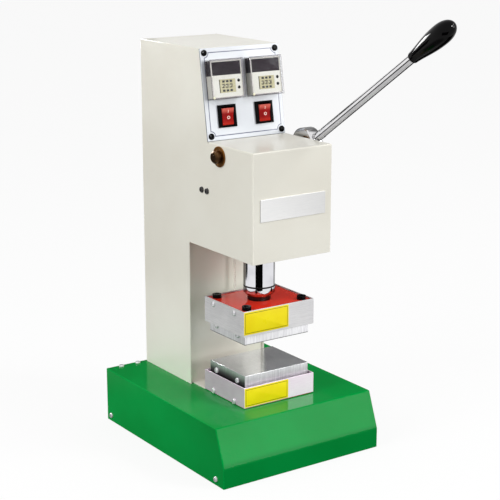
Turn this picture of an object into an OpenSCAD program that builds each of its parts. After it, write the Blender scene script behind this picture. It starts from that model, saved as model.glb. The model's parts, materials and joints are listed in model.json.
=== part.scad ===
// Manual lever heat press: two heated platens in a sheet-metal C-frame on a box base.
// Millimetres. The origin is the middle of the base's underside, the front faces -Y and +Z is up.

/* [Base] */
// Width of the base box
base_w = 244; // [230:1:300]
// Depth of the base box
base_d = 292; // [285:1:340]
// Height of the base box
base_h = 74; // [66:1:100]
// Height of the upright lip along the front
lip_h = 26; // [18:1:40]
// Distance from the lip back to the top edge of the sloping front
front_setback = 18; // [8:1:30]
// Thickness of the base's sheet steel
base_t = 1.5; // [1:0.1:2]
// Height of the side flanges of the base tray
tray_flange_h = 16; // [14:1:24]
// Height of the side screws above the table
base_screw_z = 8.4; // [7:0.1:10]
// Distance of the front side screws from the front
base_screw_front = 17; // [12:1:24]
// Distance of the rear side screws from the back
base_screw_back = 11.5; // [9:0.5:20]
// Distance of the inner pair of rear screws from the middle
rear_screw_x = 75; // [70:1:84]
// Distance between the two rear screws of a pair
rear_screw_pitch = 26; // [16:1:28]
// Distance of the rear screws from the back edge
rear_screw_back = 5; // [4.5:0.1:7]
// Distance of the power inlet from the base's left side
inlet_in = 44; // [32:1:82]
// Height of the power inlet's middle above the table
inlet_z = 38; // [30:1:44]

/* [Column and head] */
// Width of the column and the head
column_w = 120; // [118:1:140]
// Depth of the column, front edge to back
column_d = 116; // [100:1:118]
// Distance from the column's back to the base's back edge
column_inset = 4; // [2:0.5:8]
// Height of the head's underside above the base
throat_h = 196; // [190:1:240]
// Height of the head, from its underside to its top
head_h = 139; // [137:1:160]
// How far the head reaches in front of the column
head_reach = 145.5; // [138:0.5:160]
// Depth of the head's flat top, in front of the control panel
head_top_d = 98.9; // [90:0.1:112]
// Thickness of the side plates
plate_t = 2; // [1.5:0.1:3]
// Thickness of the bent covers on the head
head_cover_t = 2; // [1.5:0.1:3]
// Thickness of the bent covers on the column
column_cover_t = 1.5; // [1:0.1:2.5]
// How far the column's front cover lies behind the plates' edges
front_recess = 3; // [1:0.5:8]
// Width of the side plates' folded flanges
flange_w = 16; // [14:1:20]
// Height above the head's underside of the two small screws in the left plate
side_screw_up = 75.5; // [60:0.5:90]
// Distance between the two small screws in the left plate
side_screw_pitch = 12; // [9:0.5:16]
// Distance of those screws' midpoint behind the head's front
side_screw_back = 107.5; // [100:0.5:112]

/* [Control panel] */
// Length of the control panel up its slope
panel_len = 116; // [114:1:130]
// How far the control panel leans back from the vertical
panel_tilt = 9; // [3:0.1:12]
// Thickness of the control panel
panel_t = 2; // [1.5:0.1:3]
// Distance of the panel screws from the panel's edges
panel_screw_inset = 5.8; // [5.2:0.1:7]
// Front size of a temperature controller with its clear cover
controller_size = 50; // [48:0.5:52]
// Distance between the middles of the two controllers, as a share of the panel's width
controller_share = 0.5; // [0.45:0.01:0.52]
// Lower edge of the controllers, measured up the panel
controller_up = 51; // [48:0.5:54]
// How far the clear covers stand out of the panel
controller_proud = 12.5; // [10.4:0.1:13]
// Wall of the clear covers
clear_t = 1.2; // [0.8:0.1:1.3]
// Length of a controller's case behind the panel
case_len = 70; // [40:1:90]
// Width of the dark display window
window_w = 42.5; // [34:0.5:43]
// Height of the dark display window
window_h = 16.5; // [12:0.5:17]
// Distance of the display window's middle above the controller's middle
window_up = 13.3; // [13:0.1:13.5]
// Distance of the number drums' middle below the controller's middle
digits_down = 8.75; // [8.5:0.05:10]
// Diameter of a number drum
drum_d = 12; // [10:0.5:12]
// Width of a number drum
drum_w = 4.2; // [3.6:0.1:4.4]
// Distance between neighbouring number drums
drum_pitch = 5.6; // [5.5:0.1:6.4]
// Distance of the push buttons above and below the drums' middle
button_off = 5.8; // [5.6:0.1:6.2]
// Width of a push button
button_w = 3.2; // [2.4:0.1:3.6]
// Height of a push button
button_h = 2.4; // [1.8:0.1:2.5]
// Travel of a push button
button_travel = 0.7; // [0.4:0.1:0.8]
// Width of a rocker switch's bezel
switch_w = 27; // [26:0.5:29]
// Height of a rocker switch's bezel
switch_h = 28.5; // [28:0.5:31]
// Distance between the middles of the two switches
switch_pitch = 56.8; // [50:0.2:60]
// Distance of the switches' middle up the panel
switch_up = 29.7; // [27:0.1:31]
// Angle between the two positions of a rocker
rocker_swing = 16; // [10:1:18]

/* [Name plate] */
// Width of the blank name plate
name_plate_w = 99; // [60:1:110]
// Height of the blank name plate
name_plate_h = 28; // [16:1:40]
// Thickness of the blank name plate
name_plate_t = 1; // [0.5:0.1:2]
// Height of the name plate's middle above the head's underside
name_plate_up = 66.6; // [40:0.2:90]

/* [Press] */
// Distance of the press axis behind the head's front
press_setback = 72.5; // [62:0.5:76]
// Distance between the open platens
daylight = 41; // [38:0.5:44]
// Gap left between the closed platens
closed_gap = 0.5; // [0.4:0.1:2]
// Width of both platens
platen_w = 100; // [90:1:102]
// Depth of both platens
platen_d = 80; // [70:1:84]
// Thickness of both platens
platen_t = 25; // [18:0.5:28]
// Width of both shields
shield_w = 110; // [108:1:116]
// Depth of the upper shield
upper_shield_d = 90; // [89:0.5:96]
// Depth of the lower shield
lower_shield_d = 92.4; // [89:0.2:98]
// Height of the upper shield
upper_shield_h = 33.6; // [32:0.2:38]
// Height of the lower shield
lower_shield_h = 28; // [26:0.5:30]
// How far the upper platen stands out below its shield
upper_proud = 12.5; // [11.5:0.1:14]
// How far the lower platen stands out above its shield
lower_proud = 13.7; // [12:0.1:15]
// Thickness of the shields' sheet steel
shield_t = 1.5; // [1:0.1:2]
// Thickness of the insulating boards
board_t = 9; // [8:0.5:11]
// Height of the upper shield's rim above the board
board_sink = 1.5; // [0.5:0.1:3]
// Diameter of the ram
ram_d = 41; // [36:0.5:43]
// Diameter of the ram's neck
neck_d = 30.5; // [26:0.5:32]
// Length of the ram's neck above the board
neck_len = 5; // [3:0.5:8]
// Height of the ring groove above the neck
groove_up = 13; // [8:0.5:20]
// Diameter of the black cap screws' heads
cap_head_d = 12; // [10:0.5:13]
// Height of the black cap screws' heads
cap_head_h = 5; // [3:0.5:8]
// Distance of the cap screws from the press axis, sideways
cap_x = 43; // [38:0.5:43.5]
// Distance of the cap screws from the press axis, front to back
cap_y = 34; // [28:0.5:34.5]
// Distance of the side screws from the press axis, front to back
edge_screw_y = 24; // [16:0.5:26]
// Diameter of a cartridge heater
heater_d = 10; // [6:0.5:12]
// Length of a cartridge heater
heater_len = 70; // [50:1:76]
// Distance of the heaters from the press axis
heater_x = 26; // [18:0.5:32]

/* [Lever drive] */
// Distance of the lever shaft below the head's top
shaft_drop = 15; // [14.5:0.5:17]
// Diameter of the lever shaft
shaft_d = 16; // [14:0.5:16]
// Turn of the lever from open to closed
press_angle = 90; // [80:1:92]
// Angle of the raised lever above the horizontal
lever_angle = 33.5; // [25:0.5:45]
// Distance from the shaft to the start of the grip
lever_len = 240; // [200:1:260]
// Diameter of the lever rod
rod_d = 12; // [11:0.5:13]
// Length of the grip
grip_len = 80; // [70:1:100]
// Largest diameter of the grip
grip_d = 25.5; // [22:0.5:30]
// Diameter of the grip at the rod
grip_neck_d = 14.5; // [13.5:0.5:16]
// Diameter of the lever hub
hub_d = 48; // [44:1:54]
// Thickness of the lever hub
hub_t = 18; // [16:0.5:22]
// Distance from the right plate to the hub's face
hub_gap = 7; // [5:0.5:12]
// Distance from the shaft to the roller's middle at rest
roller_drop = 32; // [30:0.5:34]
// Diameter of the cam roller
roller_d = 22; // [18:0.5:23]
// Width of the cam roller
roller_w = 14; // [12:0.5:16]
// Thickness of the press cam
cam_t = 11; // [8:0.5:12]
// Diameter of the cam's boss
cam_boss_d = 23; // [20:0.5:24]
// Diameter of the roller's pin
roller_pin_d = 8; // [6:0.5:10]
// Outer diameter of the shaft bushes' flanges
bush_flange_d = 26; // [24:0.5:28]
// Thickness of the shaft bushes' flanges
bush_flange_t = 2; // [1.5:0.5:4]
// Outer diameter of the shaft bushes
bush_d = 20; // [19:0.5:22]
// Length of the shaft bushes inside the head
bush_len = 14; // [8:0.5:20]
// How far the shaft's left end stands out of its bush
shaft_end = 8; // [4:0.5:10]

/* [Return spring] */
// Wire of the return spring
spring_wire = 3.5; // [2.5:0.1:4]
// Turns of the return spring
spring_turns = 5; // [3:0.5:5]
// Thickness of the guide plate under the head
guide_plate_t = 8; // [6:0.5:12]
// Length of the ram's guide bush
guide_len = 27; // [20:1:28]
// Wall of the ram's guide bush
guide_bush_t = 2; // [1.5:0.1:3]
// Wall of the guide plate's tube round the bush
guide_tube_t = 2.5; // [2:0.1:4]

/* [Hidden] */
$fn = 48;
// Clearance between sheets, and between a piece and its seat
fit = 0.15;
// Radial clearance of a turning or sliding fit
run = 0.05;
// Radial clearance round a screw's shank
screw_play = 0.1;
// Clearance between moving pieces that don't bear on each other
free = 0.3;
// Overshoot of a cut past the face it opens
cut = 1;

// Screw sizes: shank diameter, head diameter, head height
screw_m4 = [4, 7.4, 2.6];
screw_m3 = [3, 5.8, 2];
screw_side = [4, 8, 2.6];
screw_panel = [4, 8, 2.4];
screw_m6 = [6, 10, 4];
// Lengths of the screws' shanks
base_screw_len = 6;
edge_screw_len = 8;
bolt_len = 9;
// Cross recess in a screw head: length, width, depth
recess = [0.56, 0.9, 1.1];
// Outline of a screw head, as shares of its radius and its height
pan_outline = [[0, 0], [1, 0], [1, 0.45], [0.82, 0.85], [0.45, 1], [0, 1]];

// Heights of the frame
head_bottom = base_h + throat_h;
head_top = head_bottom + head_h;
column_top = head_top + panel_len * cos(panel_tilt);
shaft_z = head_top - shaft_drop;

// Depths of the frame
base_back = base_d / 2;
base_front = -base_d / 2;
column_back = base_back - column_inset;
column_front = column_back - column_d;
head_front = column_front - head_reach;
panel_foot = head_front + head_top_d;
press_y = head_front + press_setback;
front_cover_y = column_front + front_recess;

// Inside faces of the frame
plate_in = column_w / 2 - plate_t;
cover_x = plate_in - fit;
tray_x = base_w / 2 - base_t - fit;
tray_top = base_h - base_t - fit;
front_angle = atan2(front_setback, base_h - lip_h);
// Depth of the tray's rear flange under the base's top
rear_flange_d = 14;
// Height of the tray's front flange
front_flange_h = 10;
// Power inlet's middle, to the left
inlet_x = base_w / 2 - inlet_in;
// Length of the side plates' tabs behind the control panel's screws
panel_tab = 12;

// Column bolts and cable ways
bolt_x = plate_in - flange_w / 2;
bolt_in = 25;
bolt_ys = [column_front + bolt_in, column_back - bolt_in];
cable_d = 22;
column_cable_y = (column_front + column_back) / 2;
lower_cable_d = 14;

// Power inlet: a standard three-pole appliance inlet
inlet_flange = [48, 27, 3];
inlet_body = [27, 19.6, 21];
inlet_mouth = [24.2, 16.6, 16];
inlet_corner = 4;
inlet_pin = [2, 4, 10.5];
inlet_pin_pitch = 7;
inlet_pin_rise = 2;
inlet_screw_x = 19;

// Press heights, from the base upwards
shield_foot = 1.2;
lower_board_top = base_h + board_t;
lower_shield_top = base_h + lower_shield_h;
lower_platen_top = lower_shield_top + lower_proud;
upper_platen_bottom = lower_platen_top + daylight;
upper_shield_bottom = upper_platen_bottom + upper_proud;
upper_shield_top = upper_shield_bottom + upper_shield_h;
upper_board_top = upper_shield_top - board_sink;
upper_board_bottom = upper_board_top - board_t;
stroke = daylight - closed_gap;
board_x = shield_w / 2 - shield_t - fit;
upper_board_y = upper_shield_d / 2 - shield_t - fit;
lower_board_y = lower_shield_d / 2 - shield_t - fit;
platen_screw_in = 10;
pillar_d = 14;
cap_d = 6;
// Depth of the cap screws in the upper platen
cap_grip = 9;
heater_in = 14;
// Share of a cap screw's head taken by its socket
cap_socket = 0.5;

// Ram and its guide
spigot_d = 20;
spigot_len = 7;
guide_top = head_bottom + guide_len;
guide_tube_d = ram_d + 2 * run + 2 * guide_bush_t + 2 * fit + 2 * guide_tube_t;
spring_seat = head_bottom + guide_plate_t;
roller_z = shaft_z - roller_drop;
// Height of the roller above the ears that carry it, and of the roller over the slot's floor
ear_short = 4;
slot_under = 1.5;
ear_top = roller_z + roller_d / 2 - ear_short;
ear_chamfer = 2;
slot_floor = roller_z - roller_d / 2 - slot_under;
slot_w = roller_w + 2 * free;
pin_inset = 2;
collar_t = 5;
collar_drop = 2.5;
collar_top = slot_floor - collar_drop;
collar_bottom = collar_top - collar_t;
// Ring groove in the ram: depth, width, width of each flank
ram_groove = [1, 2, 0.5];
// Spring: distance from the guide tube, collar's edge outside it, points a turn, sides of the wire
spring_gap = 1.6;
collar_edge = 1;
spring_steps = 12;
spring_sides = 6;
spring_d = guide_tube_d + 2 * spring_gap + spring_wire;
collar_d = spring_d + spring_wire + 2 * collar_edge;

// Cam: the roller's middle follows an even spiral, so equal turns give equal travel
lift_per_rad = stroke / press_angle * 180 / PI;
cam_lead = 12;
cam_tail = 7;
cam_step = 5;
cam_boss_w = 24;

// Lever
hub_x = column_w / 2 + hub_gap;
lever_x = hub_x + hub_t / 2;
hub_boss_d = 24;
shaft_chamfer = 2;
hub_chamfer = 1.5;
// Depth of the rod's spot face in the hub, step of the rod's spigot, wall between the rod and the shaft
spot_depth = 1.2;
spigot_step = 1;
root_wall = 2;
spot_r = hub_d / 2 - spot_depth;
spigot_rod_d = rod_d - 2 * spigot_step;
rod_root = shaft_d / 2 + root_wall;
rod_groove = 17;
// Ring groove in the lever rod: depth, width, width of each flank; and the step down beyond it
rod_ring = [0.7, 2, 0.5];
rod_step = 0.3;
rod_end_gap = 1;
grip_bore_len = 32;
grip_rise = 0.68;
grip_steps = 40;

// Controls
controller_pitch = column_w * controller_share;
case_w = controller_size - 2 * clear_t - 2 * fit;
case_lip = 0.6;
case_body_w = case_w - 2 * case_lip;
// Gap between the case's face and the clear cover, and below the case
face_gap = 0.7;
cover_play = 0.3;
case_face = controller_proud - clear_t - face_gap;
window_t = 3;
wheel_block = [24.4, 16.8, 0.6];
drum_gap = 0.15;
drum_sink = 0.5;
drum_axis_w = case_face - wheel_block[2] - drum_sink - drum_d / 2;
drum_pin_d = 2;
drum_view_h = 5;
button_fit = 0.15;
button_t = 1.8;
button_proud = 0.5;
button_back = case_face + button_proud - button_t;
cover_pivot_in = 3;
cover_pivot_w = controller_proud / 2;
cover_pin_d = 2;
cover_pin_in = 1;
cover_lift = 1.1;
switch_bezel_t = 2.5;
switch_body = [23, 26, 22];
rocker_w = 17;
rocker_l = 21.2;
rocker_pivot_w = -3;
rocker_pin_d = 3;
rocker_pin_len = 2;
rocker_edge = 4;
rocker_dip = 2.4;
rocker_root = 8;
// Well of a switch: width and length beyond the rocker, depth
well_play = [0.6, 2.6];
well_depth = 13;
switch_well = [rocker_w + well_play[0], rocker_l + well_play[1], well_depth];

// Heater lead: from the guide plate down behind the ram and up into the upper shield.
// Its way to the right, in front of the column, into the guide plate and above the shield's edge
lead_d = 3.2;
lead_sides = 8;
lead_x = 7;
lead_top_in = 7;
lead_sink = 2;
lead_up = 19.3;
lead_top_y = front_cover_y - lead_top_in;
lead_top_z = spring_seat - lead_sink;
lead_end_y = press_y + upper_shield_d / 2;
lead_end_z = upper_shield_bottom + lead_up;
// Bend at the lower end, measured from the hole in the shield: backwards, upwards
lead_bend = [
    [21, 6.5], [20.6, -2.5], [19, -8.5], [16.2, -12.5], [12.8, -13.7], [9.6, -12.1], [7.6, -8.5],
    [6.2, -4.3], [3.6, -1.1], [0, 0], [-4, 0]
];
lead_run = 7;
lead_fall = [lead_end_y + lead_bend[0][0] - lead_top_y, lead_end_z + lead_bend[0][1] - lead_top_z];
lead_route = concat(
    [for (i = [0:lead_run - 1])
        [lead_x, lead_top_y + lead_fall[0] * i / lead_run, lead_top_z + lead_fall[1] * i / lead_run]],
    [for (p = lead_bend) [lead_x, lead_end_y + p[0], lead_end_z + p[1]]]
);
lead_hole_d = 4.6;

// Paint and material colours
cream = [0.89, 0.88, 0.83];
green = [0.03, 0.5, 0.2];
stainless = [0.74, 0.74, 0.75];
zinc = [0.78, 0.78, 0.8];
steel = [0.55, 0.56, 0.58];
red = [0.85, 0.2, 0.15];
brass = [0.62, 0.45, 0.22];
black = [0.06, 0.06, 0.06];

// A point on the back of the control panel at height z
function panel_back_y(z, off) = panel_foot + (z - head_top) * tan(panel_tilt) + off / cos(panel_tilt);

// Direction from the shaft at an angle counted from straight down towards the front
function down_to_front(a) = [-sin(a), -cos(a)];

// Point on the cam's edge that touches the roller after the lever has turned by a degrees
function cam_point(a) =
    let (
        r = roller_drop + stroke / press_angle * a,
        along = down_to_front(a),
        ahead = [-cos(a), sin(a)],
        outward = r * along - lift_per_rad * ahead
    )
    r * along - (roller_d / 2 + free) * outward / norm(outward);

// Radius of the grip at a share t of its length
function grip_r(t) =
    t < grip_rise
        ? grip_neck_d / 2 + (grip_d - grip_neck_d) / 2 * pow(sin(90 * t / grip_rise), 1.4)
        : grip_d / 2 * sqrt(max(0, 1 - pow((t - grip_rise) / (1 - grip_rise), 2.4)));

// Helix of the return spring, as points in its own frame
function spring_points(n) =
    let (rise = collar_bottom - spring_seat - spring_wire - 2 * fit)
    [for (i = [0:n]) [
        spring_d / 2 * cos(360 * spring_turns * i / n),
        spring_d / 2 * sin(360 * spring_turns * i / n),
        spring_seat + spring_wire / 2 + fit + rise * i / n
    ]];

// Rings of a tube along points
function unit(v) = v / norm(v);
function heading(p, i) = unit(p[min(i + 1, len(p) - 1)] - p[max(i - 1, 0)]);
function ring(p, i, r, sides, across) =
    let (t = heading(p, i), u = unit(cross(t, across)), v = cross(t, u))
    [for (k = [0:sides - 1]) p[i] + r * (cos(360 * k / sides) * u + sin(360 * k / sides) * v)];

// Box between two corners
module box(low, high) {
    translate(low) cube(high - low);
}

// Outline in the YZ plane, drawn out to a width along X
module along_x(w) {
    rotate([90, 0, 90]) translate([0, 0, -w / 2]) linear_extrude(w) children();
}

// Rod along X, Y or Z between two values
module rod_x(d, x0, x1, y, z) {
    translate([x0, y, z]) rotate([0, 90, 0]) cylinder(d = d, h = x1 - x0);
}
module rod_y(d, x, y0, y1, z) {
    translate([x, y1, z]) rotate([90, 0, 0]) cylinder(d = d, h = y1 - y0);
}
module rod_z(d, x, y, z0, z1) {
    translate([x, y, z0]) cylinder(d = d, h = z1 - z0);
}

// Round tube along points, with flat ends
module tube(points, r, sides, across) {
    n = len(points);
    rings = [for (i = [0:n - 1]) each ring(points, i, r, sides, across)];
    walls = [for (i = [0:n - 2]) for (k = [0:sides - 1])
        let (a = i * sides + k, b = i * sides + (k + 1) % sides)
        each [[a, b, a + sides], [b, b + sides, a + sides]]];
    near_end = [for (k = [1:sides - 2]) [0, k + 1, k]];
    last = (n - 1) * sides;
    far_end = [for (k = [1:sides - 2]) [last, last + k, last + k + 1]];
    polyhedron(rings, concat(walls, near_end, far_end));
}

// Pan-head screw: the head stands on z = 0 and the shank goes down
module pan_screw(size, len) {
    head = size[1] / 2;
    difference() {
        rotate_extrude() polygon([for (p = pan_outline) [p[0] * head, p[1] * size[2]]]);
        for (a = [0, 90])
            rotate([0, 0, a])
                translate([0, 0, size[2] + cut - recess[2]])
                    cube([size[1] * recess[0], recess[1], 2 * cut], center = true);
    }
    translate([0, 0, -len]) cylinder(d = size[0], h = len);
}

// Places children on an X face, screwed in towards the middle
module facing_x(side) {
    rotate([0, side * 90, 0]) children();
}

// Places children in the control panel's frame: X across, Y up the slope, Z out of the panel
module on_panel() {
    translate([0, panel_foot, head_top]) rotate([90 - panel_tilt, 0, 0]) children();
}
module at_controller(side) {
    on_panel()
        translate([side * controller_pitch / 2, controller_up + controller_size / 2, 0])
            children();
}
module at_digit(side, i) {
    at_controller(side) translate([(i - 2) * drum_pitch, -digits_down, 0]) children();
}
module at_switch(side) {
    on_panel() translate([side * switch_pitch / 2, switch_up, 0]) children();
}

// Places children along the lever: Z runs from the shaft to the grip
module along_lever() {
    translate([lever_x, press_y, shaft_z]) rotate([90 - lever_angle, 0, 0]) children();
}

// Places of the screws
module at_base_screws() {
    for (side = [-1, 1])
        for (y = [base_front + base_screw_front, base_back - base_screw_back])
            translate([side * base_w / 2, y, base_screw_z]) facing_x(side) children();
}
module at_rear_screws() {
    for (side = [-1, 1])
        for (x = [rear_screw_x, rear_screw_x + rear_screw_pitch])
            translate([side * x, base_back - rear_screw_back, base_h]) children();
}
module at_side_screws() {
    for (dy = [-0.5, 0.5] * side_screw_pitch)
        translate([-column_w / 2, head_front + side_screw_back + dy, head_bottom + side_screw_up])
            facing_x(-1) children();
}
module at_panel_screws() {
    on_panel()
        for (x = [-1, 1] * (column_w / 2 - panel_screw_inset))
            for (y = [panel_screw_inset, panel_len - panel_screw_inset])
                translate([x, y, 0]) children();
}
module at_column_bolts() {
    for (side = [-1, 1])
        for (y = bolt_ys)
            translate([side * bolt_x, y, base_h - base_t]) rotate([180, 0, 0]) children();
}
module at_inlet_screws() {
    for (dx = [-1, 1] * inlet_screw_x)
        translate([-inlet_x + dx, base_back + inlet_flange[2], inlet_z])
            rotate([-90, 0, 0]) children();
}
module at_edge_screws(x, z) {
    for (side = [-1, 1])
        for (dy = [-1, 1] * edge_screw_y)
            translate([side * x, press_y + dy, z]) facing_x(side) children();
}
module at_caps() {
    for (dx = [-1, 1] * cap_x)
        for (dy = [-1, 1] * cap_y)
            translate([dx, press_y + dy, upper_board_top]) children();
}

// Hole for a screw whose head stands on z = 0
module screw_hole(size, len) {
    translate([0, 0, -len]) cylinder(d = size[0] + 2 * screw_play, h = len + cut);
}

// Base
module base_shell() {
    outline = [
        [base_front, 0], [base_front, lip_h], [base_front + front_setback, base_h],
        [base_back, base_h], [base_back, 0]
    ];
    inside = [
        [base_front + base_t, -cut],
        [base_front + base_t, lip_h - base_t * tan(front_angle / 2)],
        [base_front + front_setback + base_t * tan(45 - front_angle / 2), base_h - base_t],
        [base_back + cut, base_h - base_t], [base_back + cut, -cut]
    ];
    color(green) difference() {
        along_x(base_w) polygon(outline);
        along_x(base_w - 2 * base_t) polygon(inside);
        at_base_screws() screw_hole(screw_m4, base_screw_len);
        at_rear_screws() screw_hole(screw_m4, base_screw_len);
        at_column_bolts() screw_hole(screw_m6, bolt_len);
        rod_z(cable_d, 0, column_cable_y, base_h - base_t - cut, base_h + cut);
        rod_z(lower_cable_d, 0, press_y, base_h - base_t - cut, base_h + cut);
    }
}

module base_tray() {
    front = base_front + base_t + fit;
    color(steel) difference() {
        union() {
            box([-tray_x, front, 0], [tray_x, base_back, base_t]);
            box([-tray_x, front, 0], [tray_x, front + base_t, front_flange_h]);
            box([-tray_x, front, 0], [-tray_x + base_t, base_back, tray_flange_h]);
            box([tray_x - base_t, front, 0], [tray_x, base_back, tray_flange_h]);
            box([-tray_x, base_back - base_t, 0], [tray_x, base_back, tray_top]);
            box([-tray_x, base_back - rear_flange_d, tray_top - base_t], [tray_x, base_back, tray_top]);
        }
        at_base_screws() screw_hole(screw_m4, base_screw_len + cut);
        at_rear_screws() screw_hole(screw_m4, base_screw_len + cut);
        at_inlet_screws() screw_hole(screw_m3, base_screw_len + inlet_flange[2]);
        translate([-inlet_x, base_back, inlet_z])
            cube([inlet_body[0] + 2 * fit, 4 * base_t, inlet_body[1] + 2 * fit], center = true);
    }
}

// Rectangle in the XZ plane with its upper corners cut off, as the inlet's mouth has
module inlet_outline(w, h, corner) {
    polygon([
        [-w / 2, -h / 2], [w / 2, -h / 2], [w / 2, h / 2 - corner], [w / 2 - corner, h / 2],
        [-w / 2 + corner, h / 2], [-w / 2, h / 2 - corner]
    ]);
}

module power_inlet() {
    color(black) translate([-inlet_x, base_back, inlet_z]) rotate([90, 0, 180]) {
        difference() {
            union() {
                translate([0, 0, fit])
                    linear_extrude(inlet_flange[2] - fit)
                        square([inlet_flange[0], inlet_flange[1]], center = true);
                translate([0, 0, -inlet_body[2]])
                    linear_extrude(inlet_body[2] + inlet_flange[2])
                        square([inlet_body[0], inlet_body[1]], center = true);
            }
            translate([0, 0, inlet_flange[2] - inlet_mouth[2]])
                linear_extrude(inlet_mouth[2] + cut)
                    inlet_outline(inlet_mouth[0], inlet_mouth[1], inlet_corner);
            for (dx = [-1, 1] * inlet_screw_x)
                translate([dx, 0, inlet_flange[2]]) screw_hole(screw_m3, inlet_flange[2] + cut);
        }
        for (i = [-1:1])
            translate([
                i * inlet_pin_pitch - inlet_pin[0] / 2,
                -inlet_pin[1] / 2 + (i == 0 ? inlet_pin_rise : -inlet_pin_rise),
                inlet_flange[2] - inlet_mouth[2] - cut
            ])
                cube([inlet_pin[0], inlet_pin[1], inlet_pin[2] + cut]);
    }
}

module frame_screws() {
    color(zinc) {
        at_base_screws() pan_screw(screw_m4, base_screw_len);
        at_rear_screws() pan_screw(screw_m4, base_screw_len);
        at_side_screws() pan_screw(screw_side, base_screw_len);
        at_inlet_screws() pan_screw(screw_m3, base_screw_len + inlet_flange[2]);
        at_column_bolts() pan_screw(screw_m6, bolt_len);
        at_edge_screws(platen_w / 2, lower_platen_top - platen_screw_in)
            pan_screw(screw_m4, edge_screw_len);
        at_edge_screws(shield_w / 2, base_h + board_t / 2) pan_screw(screw_m4, edge_screw_len);
    }
}

// Column and head
module side_plate(side) {
    slope_off = panel_t + fit;
    head_edge = head_top - head_cover_t - fit;
    head_face = head_front + head_cover_t + fit;
    outline = [
        [column_front, base_h], [column_front, head_bottom], [head_face, head_bottom],
        [head_face, head_edge], [panel_back_y(head_edge, slope_off), head_edge],
        [panel_back_y(column_top, slope_off), column_top], [column_back, column_top],
        [column_back, base_h]
    ];
    inner = side * plate_in;
    difference() {
        union() {
            translate([side * (column_w - plate_t) / 2, 0, 0]) along_x(plate_t) polygon(outline);
            // Foot flange, bolted to the base
            box(
                [min(inner, inner - side * flange_w), front_cover_y + column_cover_t + fit, base_h],
                [max(inner, inner - side * flange_w), column_back - column_cover_t - fit, base_h + plate_t]
            );
            // Tabs behind the control panel's screws
            on_panel()
                for (y = [plate_t, panel_len - plate_t - panel_tab])
                    box(
                        [min(inner, inner - side * flange_w / 2), y, -slope_off - plate_t],
                        [max(inner, inner - side * flange_w / 2), y + panel_tab, -slope_off]
                    );
        }
        rod_x(bush_d + 2 * fit, -column_w, column_w, press_y, shaft_z);
        at_panel_screws() screw_hole(screw_panel, edge_screw_len);
        at_column_bolts() screw_hole(screw_m6, bolt_len + cut);
        if (side < 0)
            at_side_screws() screw_hole(screw_side, base_screw_len);
    }
}
module side_plate_left() {
    color(cream) side_plate(-1);
}
module side_plate_right() {
    color(cream) side_plate(1);
}

// Back and top of the column, bent from one sheet
module column_cover() {
    top_front = panel_back_y(column_top - column_cover_t, panel_t + 2 * fit);
    color(cream) {
        box([-cover_x, column_back - column_cover_t, base_h], [cover_x, column_back, column_top]);
        box([-cover_x, top_front, column_top - column_cover_t], [cover_x, column_back, column_top]);
    }
}

// Front of the column, with a foot that runs forward to the lower shield
module column_front_cover() {
    foot_front = press_y + lower_shield_d / 2 + fit;
    back = front_cover_y + column_cover_t;
    foot_x = shield_w / 2;
    color(cream) {
        box([-cover_x, front_cover_y, base_h], [cover_x, back, head_bottom + guide_plate_t]);
        box([-foot_x, foot_front, base_h], [foot_x, back, base_h + column_cover_t]);
    }
}

// Front and top of the head, bent from one sheet
module head_cover() {
    w = column_w / 2;
    color(cream) {
        box([-w, head_front, head_bottom], [w, head_front + head_cover_t, head_top]);
        box([-w, head_front, head_top - head_cover_t], [w, panel_foot - fit, head_top]);
    }
}

// Plate across the head's underside, with the tube that holds the ram's bush
module guide_plate() {
    bore = ram_d + 2 * run + 2 * guide_bush_t + 2 * fit;
    color(cream) difference() {
        union() {
            box(
                [-cover_x, head_front + head_cover_t + fit, head_bottom],
                [cover_x, front_cover_y - fit, spring_seat]
            );
            rod_z(guide_tube_d, 0, press_y, head_bottom, guide_top);
        }
        rod_z(bore, 0, press_y, head_bottom - cut, guide_top + cut);
        rod_z(lead_hole_d, lead_x, lead_route[0][1], head_bottom - cut, spring_seat + cut);
    }
}

module guide_bush() {
    color(brass) difference() {
        rod_z(ram_d + 2 * run + 2 * guide_bush_t, 0, press_y, head_bottom, guide_top);
        rod_z(ram_d + 2 * run, 0, press_y, head_bottom - cut, guide_top + cut);
    }
}

module shaft_bushes() {
    face = column_w / 2;
    color(brass) for (side = [-1, 1])
        difference() {
            translate([side * face, press_y, shaft_z]) facing_x(side) {
                translate([0, 0, fit]) cylinder(d = bush_flange_d, h = bush_flange_t - fit);
                translate([0, 0, -bush_len]) cylinder(d = bush_d, h = bush_len + bush_flange_t);
            }
            rod_x(shaft_d + 2 * run, -column_w, column_w, press_y, shaft_z);
        }
}

// Control panel
module control_panel() {
    color("white") difference() {
        on_panel() box([-column_w / 2, 0, -panel_t], [column_w / 2, panel_len, 0]);
        at_panel_screws() screw_hole(screw_panel, panel_t + cut);
        for (side = [-1, 1]) {
            at_controller(side)
                cube([case_body_w + 2 * fit, case_body_w + 2 * fit, 4 * panel_t], center = true);
            at_switch(side)
                cube([switch_body[0] + 2 * fit, switch_body[1] + 2 * fit, 4 * panel_t], center = true);
        }
    }
}

module panel_screws() {
    color(black) at_panel_screws() pan_screw(screw_panel, edge_screw_len);
}

module name_plate() {
    z = head_bottom + name_plate_up;
    color("silver")
        box(
            [-name_plate_w / 2, head_front - name_plate_t, z - name_plate_h / 2],
            [name_plate_w / 2, head_front, z + name_plate_h / 2]
        );
}

// Pocket or body of a push button, grown by a clearance
module button_block(grow, back, front) {
    translate([-button_w / 2 - grow, -button_h / 2 - grow, back])
        cube([button_w + 2 * grow, button_h + 2 * grow, front - back]);
}

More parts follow.
